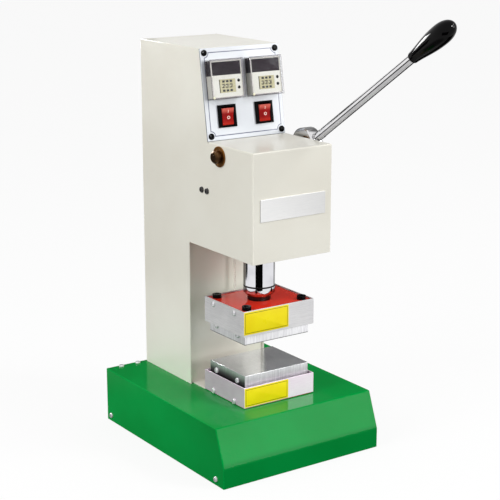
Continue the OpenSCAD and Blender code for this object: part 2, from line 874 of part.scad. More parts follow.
module controller_cases() {
    color([0.93, 0.92, 0.86]) for (side = [-1, 1])
        difference() {
            at_controller(side) {
                translate([-case_w / 2, -case_w / 2 + cover_play, 0])
                    cube([case_w, case_w - cover_play, case_face]);
                translate([-case_body_w / 2, -case_body_w / 2, -case_len])
                    cube([case_body_w, case_body_w, case_len + cut]);
            }
            at_controller(side) {
                translate([-window_w / 2 - fit, window_up - window_h / 2 - fit, case_face - window_t])
                    cube([window_w + 2 * fit, window_h + 2 * fit, window_t + cut]);
                translate([-wheel_block[0] / 2, -digits_down - wheel_block[1] / 2, case_face - wheel_block[2]])
                    cube([wheel_block[0], wheel_block[1], wheel_block[2] + cut]);
                for (end = [-1, 1])
                    translate([end * case_w / 2, controller_size / 2 - cover_pivot_in, cover_pivot_w])
                        facing_x(end)
                            translate([0, 0, -cover_pin_in - free])
                                cylinder(d = cover_pin_d + 2 * run, h = cover_pin_in + free + cut);
            }
            for (i = [1:3])
                at_digit(side, i) {
                    rod_x(drum_d + 2 * free, -drum_w / 2 - drum_gap, drum_w / 2 + drum_gap, 0, drum_axis_w);
                    rod_x(drum_pin_d + 2 * run, -drum_pitch / 2 - cut, drum_pitch / 2 + cut, 0, drum_axis_w);
                    translate([-drum_w / 2 - drum_gap, -drum_view_h / 2, drum_axis_w])
                        cube([drum_w + 2 * drum_gap, drum_view_h, case_face]);
                    for (dy = [-1, 1] * button_off)
                        translate([0, dy, 0])
                            button_block(button_fit, button_back - button_travel - free, case_face + cut);
                }
        }
}

module display_windows() {
    color([0.2, 0.2, 0.22]) for (side = [-1, 1])
        at_controller(side)
            translate([-window_w / 2, window_up - window_h / 2, case_face - window_t])
                cube([window_w, window_h, window_t + fit]);
}

// Number drum with stub axles, number i from the left
module number_drum(side, i) {
    color([0.85, 0.82, 0.68]) at_digit(side, i) {
        rod_x(drum_d, -drum_w / 2, drum_w / 2, 0, drum_axis_w);
        rod_x(drum_pin_d, -drum_pitch / 2 + fit, drum_pitch / 2 - fit, 0, drum_axis_w);
    }
}

// Push button above (up = 1) or below (up = -1) a number drum
module push_button(side, i, up) {
    color([0.2, 0.18, 0.12]) at_digit(side, i)
        translate([0, up * button_off, 0]) button_block(0, button_back, case_face + button_proud);
}

// Clear flap over a controller, open at the top, with pins in the case's sides
module clear_cover(side) {
    half = controller_size / 2;
    color([0.8, 0.85, 0.88, 0.5]) at_controller(side) {
        difference() {
            box([-half, -half, cover_lift], [half, half, controller_proud]);
            box(
                [-half + clear_t, -half + clear_t, cover_lift - cut],
                [half - clear_t, half + cut, controller_proud - clear_t]
            );
        }
        for (end = [-1, 1])
            translate([end * case_w / 2, half - cover_pivot_in, cover_pivot_w])
                facing_x(end)
                    translate([0, 0, -cover_pin_in])
                        cylinder(d = cover_pin_d, h = cover_pin_in + fit + clear_t / 2);
    }
}
module clear_cover_left() {
    clear_cover(-1);
}
module clear_cover_right() {
    clear_cover(1);
}

module switch_housings() {
    color(black) for (side = [-1, 1])
        at_switch(side) difference() {
            union() {
                translate([-switch_w / 2, -switch_h / 2, 0]) cube([switch_w, switch_h, switch_bezel_t]);
                translate([-switch_body[0] / 2, -switch_body[1] / 2, -switch_body[2]])
                    cube([switch_body[0], switch_body[1], switch_body[2] + cut]);
            }
            translate([-switch_well[0] / 2, -switch_well[1] / 2, -switch_well[2]])
                cube([switch_well[0], switch_well[1], switch_well[2] + switch_bezel_t + cut]);
            rod_x(
                rocker_pin_d + 2 * run, -rocker_w / 2 - rocker_pin_len - free,
                rocker_w / 2 + rocker_pin_len + free, 0, rocker_pivot_w
            );
        }
}

// Rocker, stored with its lower end pressed in
module rocker(side) {
    half = rocker_l / 2;
    at_switch(side)
        translate([0, 0, rocker_pivot_w]) rotate([rocker_swing / 2, 0, 0]) translate([0, 0, -rocker_pivot_w]) {
            along_x(rocker_w) polygon([
                [-half, 0], [-half, rocker_edge], [0, rocker_dip], [half, rocker_edge], [half, 0],
                [half / 2, -rocker_root], [-half / 2, -rocker_root]
            ]);
            rod_x(
                rocker_pin_d, -rocker_w / 2 - rocker_pin_len, rocker_w / 2 + rocker_pin_len,
                0, rocker_pivot_w
            );
        }
}
module rocker_left() {
    color("red") rocker(-1);
}
module rocker_right() {
    color("red") rocker(1);
}

// Insulating board with four spacer pillars that carry a platen
module board(half_y, z0, z1, pillar_end) {
    box([-board_x, press_y - half_y, z0], [board_x, press_y + half_y, z1]);
    for (dx = [-1, 1] * cap_x)
        for (dy = [-1, 1] * cap_y)
            rod_z(pillar_d, dx, press_y + dy, min(pillar_end, z0), max(pillar_end, z1));
}

// Sheet-metal skirt round a board and a platen
module shield(half_y, z0, z1) {
    half = shield_w / 2;
    difference() {
        box([-half, press_y - half_y, z0], [half, press_y + half_y, z1]);
        box(
            [-half + shield_t, press_y - half_y + shield_t, z0 - cut],
            [half - shield_t, press_y + half_y - shield_t, z1 + cut]
        );
    }
}

// Heated platen with two cartridge bores from the back and screw holes in its sides
module platen(z0, bore_z, screw_z) {
    difference() {
        box(
            [-platen_w / 2, press_y - platen_d / 2, z0],
            [platen_w / 2, press_y + platen_d / 2, z0 + platen_t]
        );
        for (dx = [-1, 1] * heater_x)
            rod_y(
                heater_d + 2 * run, dx, press_y + platen_d / 2 - heater_len - fit,
                press_y + platen_d / 2 + cut, bore_z
            );
        at_edge_screws(platen_w / 2, screw_z) screw_hole(screw_m4, edge_screw_len);
    }
}

module heaters(z) {
    for (dx = [-1, 1] * heater_x)
        rod_y(heater_d, dx, press_y + platen_d / 2 - heater_len, press_y + platen_d / 2, z);
}

// Lower press unit
module lower_board() {
    color(red) difference() {
        board(lower_board_y, base_h, lower_board_top, lower_platen_top - platen_t);
        at_edge_screws(shield_w / 2, base_h + board_t / 2) screw_hole(screw_m4, edge_screw_len);
        rod_z(lower_cable_d, 0, press_y, base_h - cut, lower_board_top + cut);
    }
}

module lower_shield() {
    color(stainless) difference() {
        shield(lower_shield_d / 2, base_h + shield_foot, lower_shield_top);
        at_edge_screws(shield_w / 2, base_h + board_t / 2) screw_hole(screw_m4, edge_screw_len);
    }
}

module lower_platen() {
    color(stainless)
        platen(lower_platen_top - platen_t, lower_platen_top - heater_in, lower_platen_top - platen_screw_in);
}

module lower_heaters() {
    color(steel) heaters(lower_platen_top - heater_in);
}

// Upper press unit
module upper_board() {
    color(red) difference() {
        board(upper_board_y, upper_board_bottom, upper_board_top, upper_platen_bottom + platen_t);
        rod_z(spigot_d + 2 * fit, 0, press_y, upper_board_top - spigot_len - fit, upper_board_top + cut);
        at_edge_screws(shield_w / 2, upper_board_top - board_t / 2) screw_hole(screw_m4, edge_screw_len);
        at_caps() screw_hole([cap_d], platen_t + board_t);
    }
}

module upper_shield() {
    color(stainless) difference() {
        shield(upper_shield_d / 2, upper_shield_bottom, upper_shield_top);
        at_edge_screws(shield_w / 2, upper_board_top - board_t / 2) screw_hole(screw_m4, edge_screw_len);
        rod_y(lead_hole_d, lead_x, press_y, press_y + upper_shield_d, lead_route[len(lead_route) - 1][2]);
    }
}

module upper_platen() {
    top = upper_platen_bottom + platen_t;
    color(stainless) difference() {
        platen(upper_platen_bottom, upper_platen_bottom + heater_in, upper_platen_bottom + platen_screw_in);
        for (dx = [-1, 1] * cap_x)
            for (dy = [-1, 1] * cap_y)
                rod_z(cap_d + 2 * screw_play, dx, press_y + dy, top - cap_grip - fit, top + cut);
    }
}

module upper_heaters() {
    color(steel) heaters(upper_platen_bottom + heater_in);
}

module upper_screws() {
    color(zinc) {
        at_edge_screws(platen_w / 2, upper_platen_bottom + platen_screw_in)
            pan_screw(screw_m4, edge_screw_len);
        at_edge_screws(shield_w / 2, upper_board_top - board_t / 2)
            pan_screw(screw_m4, edge_screw_len);
    }
}

// Black socket-head screws through the upper board into the platen
module cap_screws() {
    reach = upper_board_top - (upper_platen_bottom + platen_t) + cap_grip;
    socket_d = cap_head_d * cap_socket;
    color(black) at_caps() {
        difference() {
            cylinder(d = cap_head_d, h = cap_head_h);
            translate([0, 0, cap_head_h / 2]) cylinder(d = socket_d, h = cap_head_h, $fn = 6);
        }
        translate([0, 0, -reach]) cylinder(d = cap_d, h = reach);
    }
}

// Ram: neck on the upper board, ring groove, spring collar and a slot for the roller on top
module ram() {
    foot = upper_board_top;
    r = ram_d / 2;
    low = foot + neck_len + groove_up;
    high = low + ram_groove[1];
    in = r - ram_groove[0];
    flank = ram_groove[2];
    color([0.8, 0.8, 0.82]) difference() {
        translate([0, press_y, 0]) rotate_extrude() polygon([
            [0, foot - spigot_len], [spigot_d / 2, foot - spigot_len], [spigot_d / 2, foot],
            [neck_d / 2, foot], [neck_d / 2, foot + neck_len],
            [r, foot + neck_len + (r - neck_d / 2)], [r, low], [in, low + flank], [in, high - flank],
            [r, high], [r, collar_bottom], [collar_d / 2, collar_bottom], [collar_d / 2, collar_top],
            [r, collar_top], [r, ear_top - ear_chamfer], [r - ear_chamfer, ear_top], [0, ear_top]
        ]);
        box([-slot_w / 2, press_y - ram_d, slot_floor], [slot_w / 2, press_y + ram_d, ear_top + cut]);
        rod_x(roller_pin_d + 2 * run, -ram_d, ram_d, press_y, roller_z);
    }
}

module roller_pin() {
    color(steel) rod_x(roller_pin_d, -ram_d / 2 + pin_inset, ram_d / 2 - pin_inset, press_y, roller_z);
}

module cam_roller() {
    color(steel) difference() {
        rod_x(roller_d, -roller_w / 2, roller_w / 2, press_y, roller_z);
        rod_x(roller_pin_d + 2 * run, -roller_w, roller_w, press_y, roller_z);
    }
}

module return_spring() {
    points = spring_points(spring_turns * spring_steps);
    // Least distance between points one turn apart, less the wire
    gaps = [for (i = [spring_steps:len(points) - 1]) norm(points[i] - points[i - spring_steps]) - spring_wire];
    echo(spring_least_gap = min(gaps));
    color(steel) translate([0, press_y, 0]) tube(points, spring_wire / 2, spring_sides, [0, 0, 1]);
}

module heater_lead() {
    color("white") tube(lead_route, lead_d / 2, lead_sides, [1, 0, 0]);
}

// Lever drive
module lever_shaft() {
    r = shaft_d / 2;
    left = -column_w / 2 - bush_flange_t - shaft_end;
    right = hub_x + hub_t - hub_chamfer;
    color(steel) translate([0, press_y, shaft_z]) rotate([0, 90, 0]) rotate_extrude() polygon([
        [0, left], [r - shaft_chamfer, left], [r, left + shaft_chamfer], [r, right], [0, right]
    ]);
}

module press_cam() {
    edge = [for (a = [-cam_lead:cam_step:press_angle + cam_tail]) cam_point(a)];
    color(steel) difference() {
        translate([0, press_y, shaft_z]) {
            along_x(cam_t) polygon(concat([[0, 0]], edge));
            rod_x(cam_boss_d, -cam_boss_w / 2, cam_boss_w / 2, 0, 0);
        }
        rod_x(shaft_d + 2 * run, -column_w, column_w, press_y, shaft_z);
    }
}

module lever_hub() {
    r = hub_d / 2;
    boss = hub_gap - bush_flange_t - free;
    color(steel) difference() {
        translate([hub_x, press_y, shaft_z]) rotate([0, 90, 0]) {
            rotate_extrude() polygon([
                [0, 0], [r - hub_chamfer, 0], [r, hub_chamfer], [r, hub_t - hub_chamfer],
                [r - hub_chamfer, hub_t], [0, hub_t]
            ]);
            translate([0, 0, -boss]) cylinder(d = hub_boss_d, h = boss + cut);
        }
        rod_x(shaft_d + 2 * run, 0, hub_x + hub_t + cut, press_y, shaft_z);
        along_lever() {
            cylinder(d = spigot_rod_d + 2 * run, h = hub_d);
            translate([0, 0, spot_r]) cylinder(d = rod_d + 2 * fit, h = hub_d);
        }
    }
}

module lever_rod() {
    r = rod_d / 2;
    s = spigot_rod_d / 2;
    low = spot_r + rod_groove;
    high = low + rod_ring[1];
    in = r - rod_ring[0];
    flank = rod_ring[2];
    tip = lever_len + grip_bore_len - rod_end_gap;
    color([0.75, 0.75, 0.77]) along_lever() rotate_extrude() polygon([
        [0, rod_root], [s, rod_root], [s, spot_r], [r, spot_r], [r, low], [in, low + flank],
        [in, high - flank], [r - rod_step, high], [r - rod_step, lever_len], [s, lever_len], [s, tip], [0, tip]
    ]);
}

module lever_grip() {
    edge = [for (i = [0:grip_steps]) [grip_r(i / grip_steps), grip_len * i / grip_steps]];
    color(black) along_lever() translate([0, 0, lever_len + fit]) difference() {
        rotate_extrude() polygon(concat([[0, 0]], edge));
        translate([0, 0, -cut]) cylinder(d = spigot_rod_d + 2 * run, h = grip_bore_len + cut);
    }
}

base_shell();
base_tray();
power_inlet();
frame_screws();
side_plate_left();
side_plate_right();
column_cover();
column_front_cover();
head_cover();
guide_plate();
guide_bush();
shaft_bushes();
control_panel();
panel_screws();
name_plate();
controller_cases();
display_windows();
switch_housings();
lower_board();
lower_shield();
lower_platen();
lower_heaters();
lever_shaft();
press_cam();
lever_hub();
lever_rod();
lever_grip();
ram();
roller_pin();
cam_roller();
return_spring();
heater_lead();
upper_board();
cap_screws();
upper_shield();
upper_platen();
upper_heaters();
upper_screws();
rocker_left();
rocker_right();
clear_cover_left();
clear_cover_right();
for (side = [["left", -1], ["right", 1]])
    for (i = [1:3]) {
        place = str("_", side[0], "_", i);
        number_drum(side[1], i);
        push_button(side[1], i, 1);
        push_button(side[1], i, -1);
    }
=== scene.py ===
"""Looks of the lever heat press: softened sheet metal, print, small fittings, finishes, light, camera."""

import json
import math

import bmesh
import bpy
import numpy as np
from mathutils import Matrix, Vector


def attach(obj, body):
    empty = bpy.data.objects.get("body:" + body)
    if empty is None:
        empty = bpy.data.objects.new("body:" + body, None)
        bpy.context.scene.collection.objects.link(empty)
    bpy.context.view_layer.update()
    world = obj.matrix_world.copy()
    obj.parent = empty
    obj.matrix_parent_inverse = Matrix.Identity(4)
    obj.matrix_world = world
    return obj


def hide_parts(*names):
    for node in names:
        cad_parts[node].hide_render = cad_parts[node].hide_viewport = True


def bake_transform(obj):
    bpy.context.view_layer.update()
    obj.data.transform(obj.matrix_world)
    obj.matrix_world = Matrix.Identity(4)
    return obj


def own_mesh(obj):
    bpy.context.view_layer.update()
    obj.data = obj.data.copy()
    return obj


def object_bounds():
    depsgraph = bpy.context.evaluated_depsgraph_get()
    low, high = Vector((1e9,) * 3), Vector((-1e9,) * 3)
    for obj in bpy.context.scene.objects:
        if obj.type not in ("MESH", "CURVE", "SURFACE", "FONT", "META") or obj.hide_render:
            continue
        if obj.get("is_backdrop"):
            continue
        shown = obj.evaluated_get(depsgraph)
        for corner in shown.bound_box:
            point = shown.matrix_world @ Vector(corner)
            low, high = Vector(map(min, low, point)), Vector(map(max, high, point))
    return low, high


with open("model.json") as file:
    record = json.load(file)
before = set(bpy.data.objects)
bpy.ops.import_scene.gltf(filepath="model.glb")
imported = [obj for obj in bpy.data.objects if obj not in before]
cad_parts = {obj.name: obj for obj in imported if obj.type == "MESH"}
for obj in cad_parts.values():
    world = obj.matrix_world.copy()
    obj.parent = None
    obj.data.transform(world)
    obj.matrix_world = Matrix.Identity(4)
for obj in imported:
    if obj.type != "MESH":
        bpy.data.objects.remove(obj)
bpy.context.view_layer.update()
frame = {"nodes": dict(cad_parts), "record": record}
nodes = frame["nodes"]
body_of = {n: b for b, group in frame["record"]["behaviour"]["bodies"].items() for n in group}

MM = 0.001
TAU = 2 * math.pi
SIDES = {"left": -1, "right": 1}

# Sizes in millimetres, as in the part's source
# Control panel: its foot, its lean and what sits on it
PANEL_FOOT_Y = -20.6
PANEL_FOOT_Z = 409.0
PANEL_TILT = math.radians(9.0)
PANEL_LEN = 116.0
PANEL_W = 120.0
PANEL_SCREW_IN = 5.8
CONTROLLER_X = 30.0
CONTROLLER_UP = 76.0
CASE_FACE = 10.6
CASE_HALF = 23.65
COVER_FACE = 12.5
COVER_HALF = 25.0
DIGITS_DOWN = 8.75
DRUM_PITCH = 5.6
DRUM_R = 6.0
DRUM_AXIS_W = 3.5
BUTTON_OFF = 5.8
WHEEL_RECESS = 0.6
SWITCH_X = 28.4
SWITCH_UP = 29.7
ROCKER_PIVOT_W = -3.0
ROCKER_TILT = math.radians(8)
ROCKER_HALF = 10.6
ROCKER_EDGE = 4.0
ROCKER_DIP = 2.4

# Press axis, shields, spring and platens
PRESS_Y = -47.0
UPPER_SHIELD_FRONT = -92.0
LOWER_SHIELD_FRONT = -93.2
SPRING_SEAT = 278.0
SPRING_TOP = 342.0
SPRING_D = 57.1
SPRING_WIRE = 3.5
SPRING_TURNS = 5
# Heights where the painted shade low on the platen sides fades out
PLATEN_SHADE_FADE = (105.0, 117.0)
UPPER_PLATEN_FOOT = 156.7

# Lever, counted from the shaft
LEVER_X = 76.0
SHAFT_Z = 394.0
LEVER_ANGLE = math.radians(33.5)
GRIP_START = 240.15
GRIP_LEN = 79.7
GRIP_R = 12.68
GRIP_NECK_R = 7.2
GRIP_BORE_R = 5.05
GRIP_RISE = 0.68


class Shade:
    """A socket of a finish's node tree. Arithmetic on it adds Math nodes."""

    def __init__(self, finish, socket):
        self.finish = finish
        self.socket = socket

    def math(self, operation, first, second=0.0):
        return self.finish.node("Math", {"operation": operation}, {0: first, 1: second})

    def __add__(self, other):
        return self.math("ADD", self, other)

    def __sub__(self, other):
        return self.math("SUBTRACT", self, other)

    def __rsub__(self, other):
        return self.math("SUBTRACT", other, self)

    def __mul__(self, other):
        return self.math("MULTIPLY", self, other)

    def __pow__(self, other):
        return self.math("POWER", self, other)

    def __gt__(self, other):
        return self.math("GREATER_THAN", self, other)

    def __lt__(self, other):
        return self.math("LESS_THAN", self, other)

    def __abs__(self):
        return self.math("ABSOLUTE", self)

    __radd__ = __add__
    __rmul__ = __mul__

    def max(self, other):
        return self.math("MAXIMUM", self, other)

    def step(self, low, high):
        """Rises smoothly from 0 at low to 1 at high."""
        return self.finish.node(
            "MapRange",
            {"interpolation_type": "SMOOTHSTEP"},
            {"Value": self, "From Min": low, "From Max": high},
        )


class Finish:
    """Node tree of a procedural material, or of the world where that is given, built node by node."""

    def __init__(self, name, world=None):
        self.material = world or bpy.data.materials.new(name)
        self.material.use_nodes = True
        self.tree = self.material.node_tree
        self.tree.nodes.clear()

    def node(self, kind, settings=None, inputs=None, output=0):
        """Adds a node. Its settings come first, then the values or links of its sockets."""
        made = self.tree.nodes.new("ShaderNode" + kind)
        for key, value in (settings or {}).items():
            setattr(made, key, value)
        for key, value in (inputs or {}).items():
            if isinstance(value, Shade):
                self.tree.links.new(value.socket, made.inputs[key])
            else:
                made.inputs[key].default_value = value
        return Shade(self, made.outputs[output]) if made.outputs else None

    def place(self, stretch=None):
        """Object coordinates, in metres, stretched along the axes if asked."""
        here = self.node("TexCoord", output="Object")
        if stretch is None:
            return here
        return self.node("Mapping", {}, {"Vector": here, "Scale": stretch})

    def coordinate(self, vector, axis):
        """One coordinate of a vector."""
        return self.node("SeparateXYZ", {}, {0: vector}, axis)

    def axes(self):
        """The three Object coordinates in millimetres."""
        here = self.place()
        return [self.coordinate(here, axis) * (1 / MM) for axis in range(3)]

    def noise(self, scale, detail=2.0, roughness=0.5, stretch=None):
        """Noise of scale ripples a metre, from 0 to 1."""
        return self.node(
            "TexNoise",
            {},
            {"Vector": self.place(stretch), "Scale": scale, "Detail": detail, "Roughness": roughness},
        )

    def mix(self, share, first, second):
        """Colour between first and second."""
        return self.node("Mix", {"data_type": "RGBA"}, {0: share, 6: first, 7: second}, 2)

    def normal(self):
        """Normal of the surface, without any bump."""
        return self.node("NewGeometry", output="Normal")

    def dot(self, first, second):
        """Dot product of two directions."""
        return self.node("VectorMath", {"operation": "DOT_PRODUCT"}, {0: first, 1: second}, "Value")

    def edges(self, radius):
        """Nearness of a sharp edge: one less the dot product of the rounded and the true normal."""
        rounded = self.node("Bevel", {"samples": 4}, {"Radius": radius * MM})
        return 1 - self.dot(rounded, self.normal())

    def facing(self, axis):
        """How far a face looks along an axis, from 1 down to -1 where it looks against it."""
        return self.coordinate(self.normal(), axis)

    def side(self, axis):
        """1 on faces that look against an axis, which are the left ones for 0 and the front ones for 1."""
        return (0 - self.facing(axis)).step(0.7, 0.95)

    def rays(self):
        """1 where a ray is a camera, glossy or transmission ray, each by itself."""
        kinds = ("Camera", "Glossy", "Transmission")
        return [self.node("LightPath", output=f"Is {kind} Ray") for kind in kinds]

    def threads(self, value):
        """Threads across a value: 0 between two threads, 1 on the ridge of one."""
        return self.node("Math", {"operation": "SINE"}, {0: value * TAU}) * 0.5 + 0.5

    def bump(self, height, depth):
        """Normal of a surface that rises by depth millimetres where height goes from 0 to 1."""
        return self.node("Bump", {}, {"Height": height, "Distance": depth * MM})

    def end(self, shader):
        """Ends the tree in a shader."""
        self.node("OutputMaterial", {}, {"Surface": shader})
        return self.material

    def surface(self, **sockets):
        """Ends the tree in a Principled BSDF with these inputs."""
        named = {key.replace("_", " "): value for key, value in sockets.items()}
        return self.end(self.node("BsdfPrincipled", {}, named))


def rgb(red, green, blue):
    """Linear colour from display values of 0 to 255."""
    parts = np.array([red, green, blue]) / 255
    linear = np.where(parts <= 0.04045, parts / 12.92, ((parts + 0.055) / 1.055) ** 2.4)
    return (*linear.tolist(), 1.0)


# Where paint is darkened by painted shade and where it is polished: up the front, along the left side, off
# the middle
SHADE_UP = (26.0, 34.0)
SHADE_ALONG = (-60.0, 160.0)
SHEEN_OFF = (56.0, 74.0)


def enamel(name, light, deep, worn, rough, peel, painted_shade=0.0, sheen=0.0, **gloss):
    """Sprayed paint: slow cloudy shade, fine orange peel and rubbed edges.

    It darkens as painted shade low on the front and towards the front on the left; sheen is the polish in
    the middle of the top.
    """
    f = Finish(name)
    cloud = f.noise(9, 3)
    speck = f.noise(1500, 1)
    rub = (f.edges(1.1) * (0.4 + f.noise(160, 3) * 1.2)).step(0.05, 0.45)
    colour = f.mix(cloud.step(0.3, 0.7), light, deep)
    colour = f.mix(speck.step(0.64, 0.8) * 0.12, colour, deep)
    # Painted shade: darker low on the front faces and towards the front on the left faces
    if painted_shade:
        _, y, z = f.axes()
        low_front = f.side(1) * (1 - (z + (cloud - 0.5) * 8).step(*SHADE_UP))
        fore_left = f.side(0) * (0 - y + (cloud - 0.5) * 30).step(*SHADE_ALONG) * 0.85
        colour = f.mix(low_front.max(fore_left) * painted_shade, colour, rgb(0, 74, 22))
    if sheen:
        level = f.facing(2).step(0.9, 0.98)
        middle = 1 - abs(f.axes()[0]).step(*SHEEN_OFF)
        gloss["Coat_Weight"] = level * middle * sheen + gloss["Coat_Weight"]
    colour = f.mix(rub * 0.4, colour, worn)
    skin = f.noise(330, 2) + f.noise(900, 1) * 0.4
    return f.surface(
        Base_Color=colour,
        Roughness=rough + (cloud - 0.5) * 0.06 + rub * 0.15,
        Normal=f.bump(skin, peel),
        **gloss,
    )


def ground_block(name):
    """Milled platen: upright tool lines and painted shade low on its sides, most on the left, a finer
    polish on its top and bottom.

    The upper platen also has a dark line of painted shade along its lower edge.
    """
    f = Finish(name)
    level = abs(f.facing(2)).step(0.4, 0.6)
    upright = f.noise(1, 3, 0.65, (1500, 1500, 40))
    across = f.noise(1, 4, 0.65, (2200, 60, 60))
    smear = f.noise(28, 3)
    rub = f.edges(0.8).step(0.04, 0.4)
    lines = upright * (1 - level) + across * level
    colour = f.mix((lines * 0.7 + smear * 0.3).step(0.32, 0.68), rgb(242, 242, 244), rgb(198, 197, 201))
    height = f.axes()[2]
    # Painted shade: the sides darken downwards from the lower platen's top, most on the left faces
    low = 1 - (height + (smear - 0.5) * 5).step(*PLATEN_SHADE_FADE)
    low_side_shade = low * (1 - level) * (f.side(0) * 0.62 + 0.28)
    colour = f.mix(low_side_shade, colour, rgb(46, 45, 46))
    colour = f.mix(rub * 0.6, colour, rgb(238, 238, 240))
    # Painted shade: a dark line along the foot of the upper platen's sides
    over_foot = height - UPPER_PLATEN_FOOT
    foot_line_shade = (over_foot > -1) * (1 - over_foot.step(0.7, 1.5))
    colour = f.mix(foot_line_shade * (1 - level) * 0.75, colour, rgb(40, 38, 38))
    return f.surface(
        Base_Color=colour,
        Metallic=1.0 - level * 0.3,
        Roughness=0.42 - level * 0.28 + (lines - 0.5) * 0.12 + (smear - 0.5) * 0.08,
        Normal=f.bump(lines, 0.007),
    )


def brushed(name, light, deep, rough, grain, depth, shine=1.0, left_shade=0.0):
    """Ground or brushed metal: streaks of a grain stretched along its rub, faint smears.

    Its left faces are darkened by painted shade, as far as asked.
    """
    f = Finish(name)
    streak = f.noise(1, 4, 0.65, grain)
    fine = f.noise(2.7, 2, 0.6, grain)
    smear = f.noise(28, 3)
    rub = f.edges(0.8).step(0.04, 0.4)
    tone = streak * 0.65 + smear * 0.35
    colour = f.mix(tone.step(0.3, 0.7), light, deep)
    # Painted shade on the left faces
    if left_shade:
        colour = f.mix(f.side(0) * (smear * 0.4 + 0.8) * left_shade, colour, rgb(90, 68, 84))
    colour = f.mix(rub * 0.5, colour, light)
    return f.surface(
        Base_Color=colour,
        Metallic=shine,
        Roughness=rough + (streak - 0.5) * 0.16 + (smear - 0.5) * 0.1,
        Normal=f.bump(streak + fine * 0.5, depth),
    )


def polished(
    name, light, deep, rough, scratch=0.0012, dark_bands=(), grime_and_edge_shade=0.0, grazing_shade=0.0, turn=(0.5, 0.7), metal=1.0
):
    """Bright turned or plated metal: faint smudges, hair scratches, painted shade on edges, dark bands
    between heights.

    Its colour darkens at a grazing angle, as far as asked: a painted reflection of a room with dark sides.
    Turn is where that begins and where it is full.
    """
    f = Finish(name)
    smudge = f.noise(45, 3)
    hair = f.noise(1, 2, 0.5, (2600, 2600, 260))
    colour = f.mix(smudge.step(0.35, 0.75), light, deep)
    blur = rough + smudge.step(0.45, 0.8) * 0.05 + hair.step(0.55, 0.8) * 0.03
    # Between each pair of heights the colour turns nearly black
    for low, high in dark_bands:
        height = f.axes()[2]
        black = (height > low) * (height < high)
        colour = f.mix(black * 0.96, colour, rgb(26, 22, 20))
        blur = blur + black * 0.3
    # Painted reflection: the colour darkens where the surface is seen at a grazing angle
    if grazing_shade:
        graze = f.node("LayerWeight", {}, {"Blend": 0.5}, "Facing").step(*turn)
        colour = f.mix(graze * grazing_shade, colour, rgb(44, 43, 44))
    # Painted shade: the edges darken
    if grime_and_edge_shade:
        rim = f.edges(1.2).step(0.06, 0.5) * grime_and_edge_shade
        colour = f.mix(rim, colour, rgb(40, 38, 38))
    return f.surface(Base_Color=colour, Metallic=metal, Roughness=blur, Normal=f.bump(hair, scratch))


def moulded(name, light, deep, rough, grain, **gloss):
    """Moulded plastic: even colour with faint flow marks, a fine skin grain and paler edges."""
    f = Finish(name)
    flow = f.noise(30, 2)
    skin = f.noise(1900, 2)
    rub = f.edges(0.5).step(0.05, 0.5)
    colour = f.mix(flow.step(0.3, 0.75), light, deep)
    colour = f.mix(rub * 0.25, colour, light)
    return f.surface(
        Base_Color=colour,
        Roughness=rough + (flow - 0.5) * 0.08 + rub * 0.1,
        Normal=f.bump(skin, grain),
        **gloss,
    )


def up_panel(y, z):
    """How far up the leaning control panel arrays or shades lie, from its foot."""
    return (y - PANEL_FOOT_Y) * math.sin(PANEL_TILT) + (z - PANEL_FOOT_Z) * math.cos(PANEL_TILT)


def panel_axes(f):
    """Coordinates on the control panel: across it, up it from its foot."""
    x, y, z = f.axes()
    return x, up_panel(y, z)


# Blue line on the panel: its half width, fading out, and how far it keeps from a screw
LINE_HALF = (0.48, 0.68)
LINE_SCREW_GAP = 6.2


def panel_print(name):
    """White panel with painted shade on its left edge, and a thin blue line that steps round each of the
    screws.
    """
    f = Finish(name)
    across, up = panel_axes(f)
    from_side = abs(across) - (PANEL_W / 2 - PANEL_SCREW_IN)
    from_end = abs(up - PANEL_LEN / 2) - (PANEL_LEN / 2 - PANEL_SCREW_IN)
    inside = from_side.max(from_end)
    from_screw = (from_side * from_side + from_end * from_end) ** 0.5
    line = abs(inside.max(LINE_SCREW_GAP - from_screw))
    ink = 1 - line.step(*LINE_HALF)
    cloud = f.noise(14, 3)
    white = f.mix(cloud.step(0.3, 0.7), rgb(211, 215, 221), rgb(205, 210, 217))
    rub = f.edges(0.8).step(0.05, 0.5)
    colour = f.mix(ink * 0.9, white, rgb(30, 42, 92))
    colour = f.mix(rub * 0.4, colour, rgb(200, 202, 206))
    # Painted shade on the left edge of the panel
    colour = f.mix(f.side(0) * 0.75, colour, rgb(74, 74, 82))
    return f.surface(
        Base_Color=colour,
        Roughness=0.32 + (cloud - 0.5) * 0.08 - ink * 0.06,
        Normal=f.bump(f.noise(700, 2), 0.012),
        Coat_Weight=0.3,
        Coat_Roughness=0.15,
    )


# Dark flanks of a controller's case: how deep they lie and how far above the middle they start
FLANK_DEEP = 0.12
FLANK_UP = 4.6


def case_plastic(name):
    """Cream case of the controllers; their display half has dark flanks."""
    f = Finish(name)
    across, up = panel_axes(f)
    flank = (abs(abs(across) - CONTROLLER_X) > CASE_HALF - FLANK_DEEP) * (up > CONTROLLER_UP + FLANK_UP)
    flow = f.noise(30, 2)
    cream = f.mix(flow.step(0.3, 0.75), rgb(242, 237, 224), rgb(233, 227, 212))
    rub = f.edges(0.5).step(0.05, 0.5)
    cream = f.mix(rub * 0.3, cream, rgb(250, 248, 236))
    return f.surface(
        Base_Color=f.mix(flank, cream, rgb(44, 38, 40)),
        Roughness=0.38 + (flow - 0.5) * 0.08,
        Normal=f.bump(f.noise(1900, 2), 0.01),
    )


# Border line of a sticker: how far in it runs, and its half width, fading out
BORDER_IN = 2.0
BORDER_HALF = (0.25, 0.42)


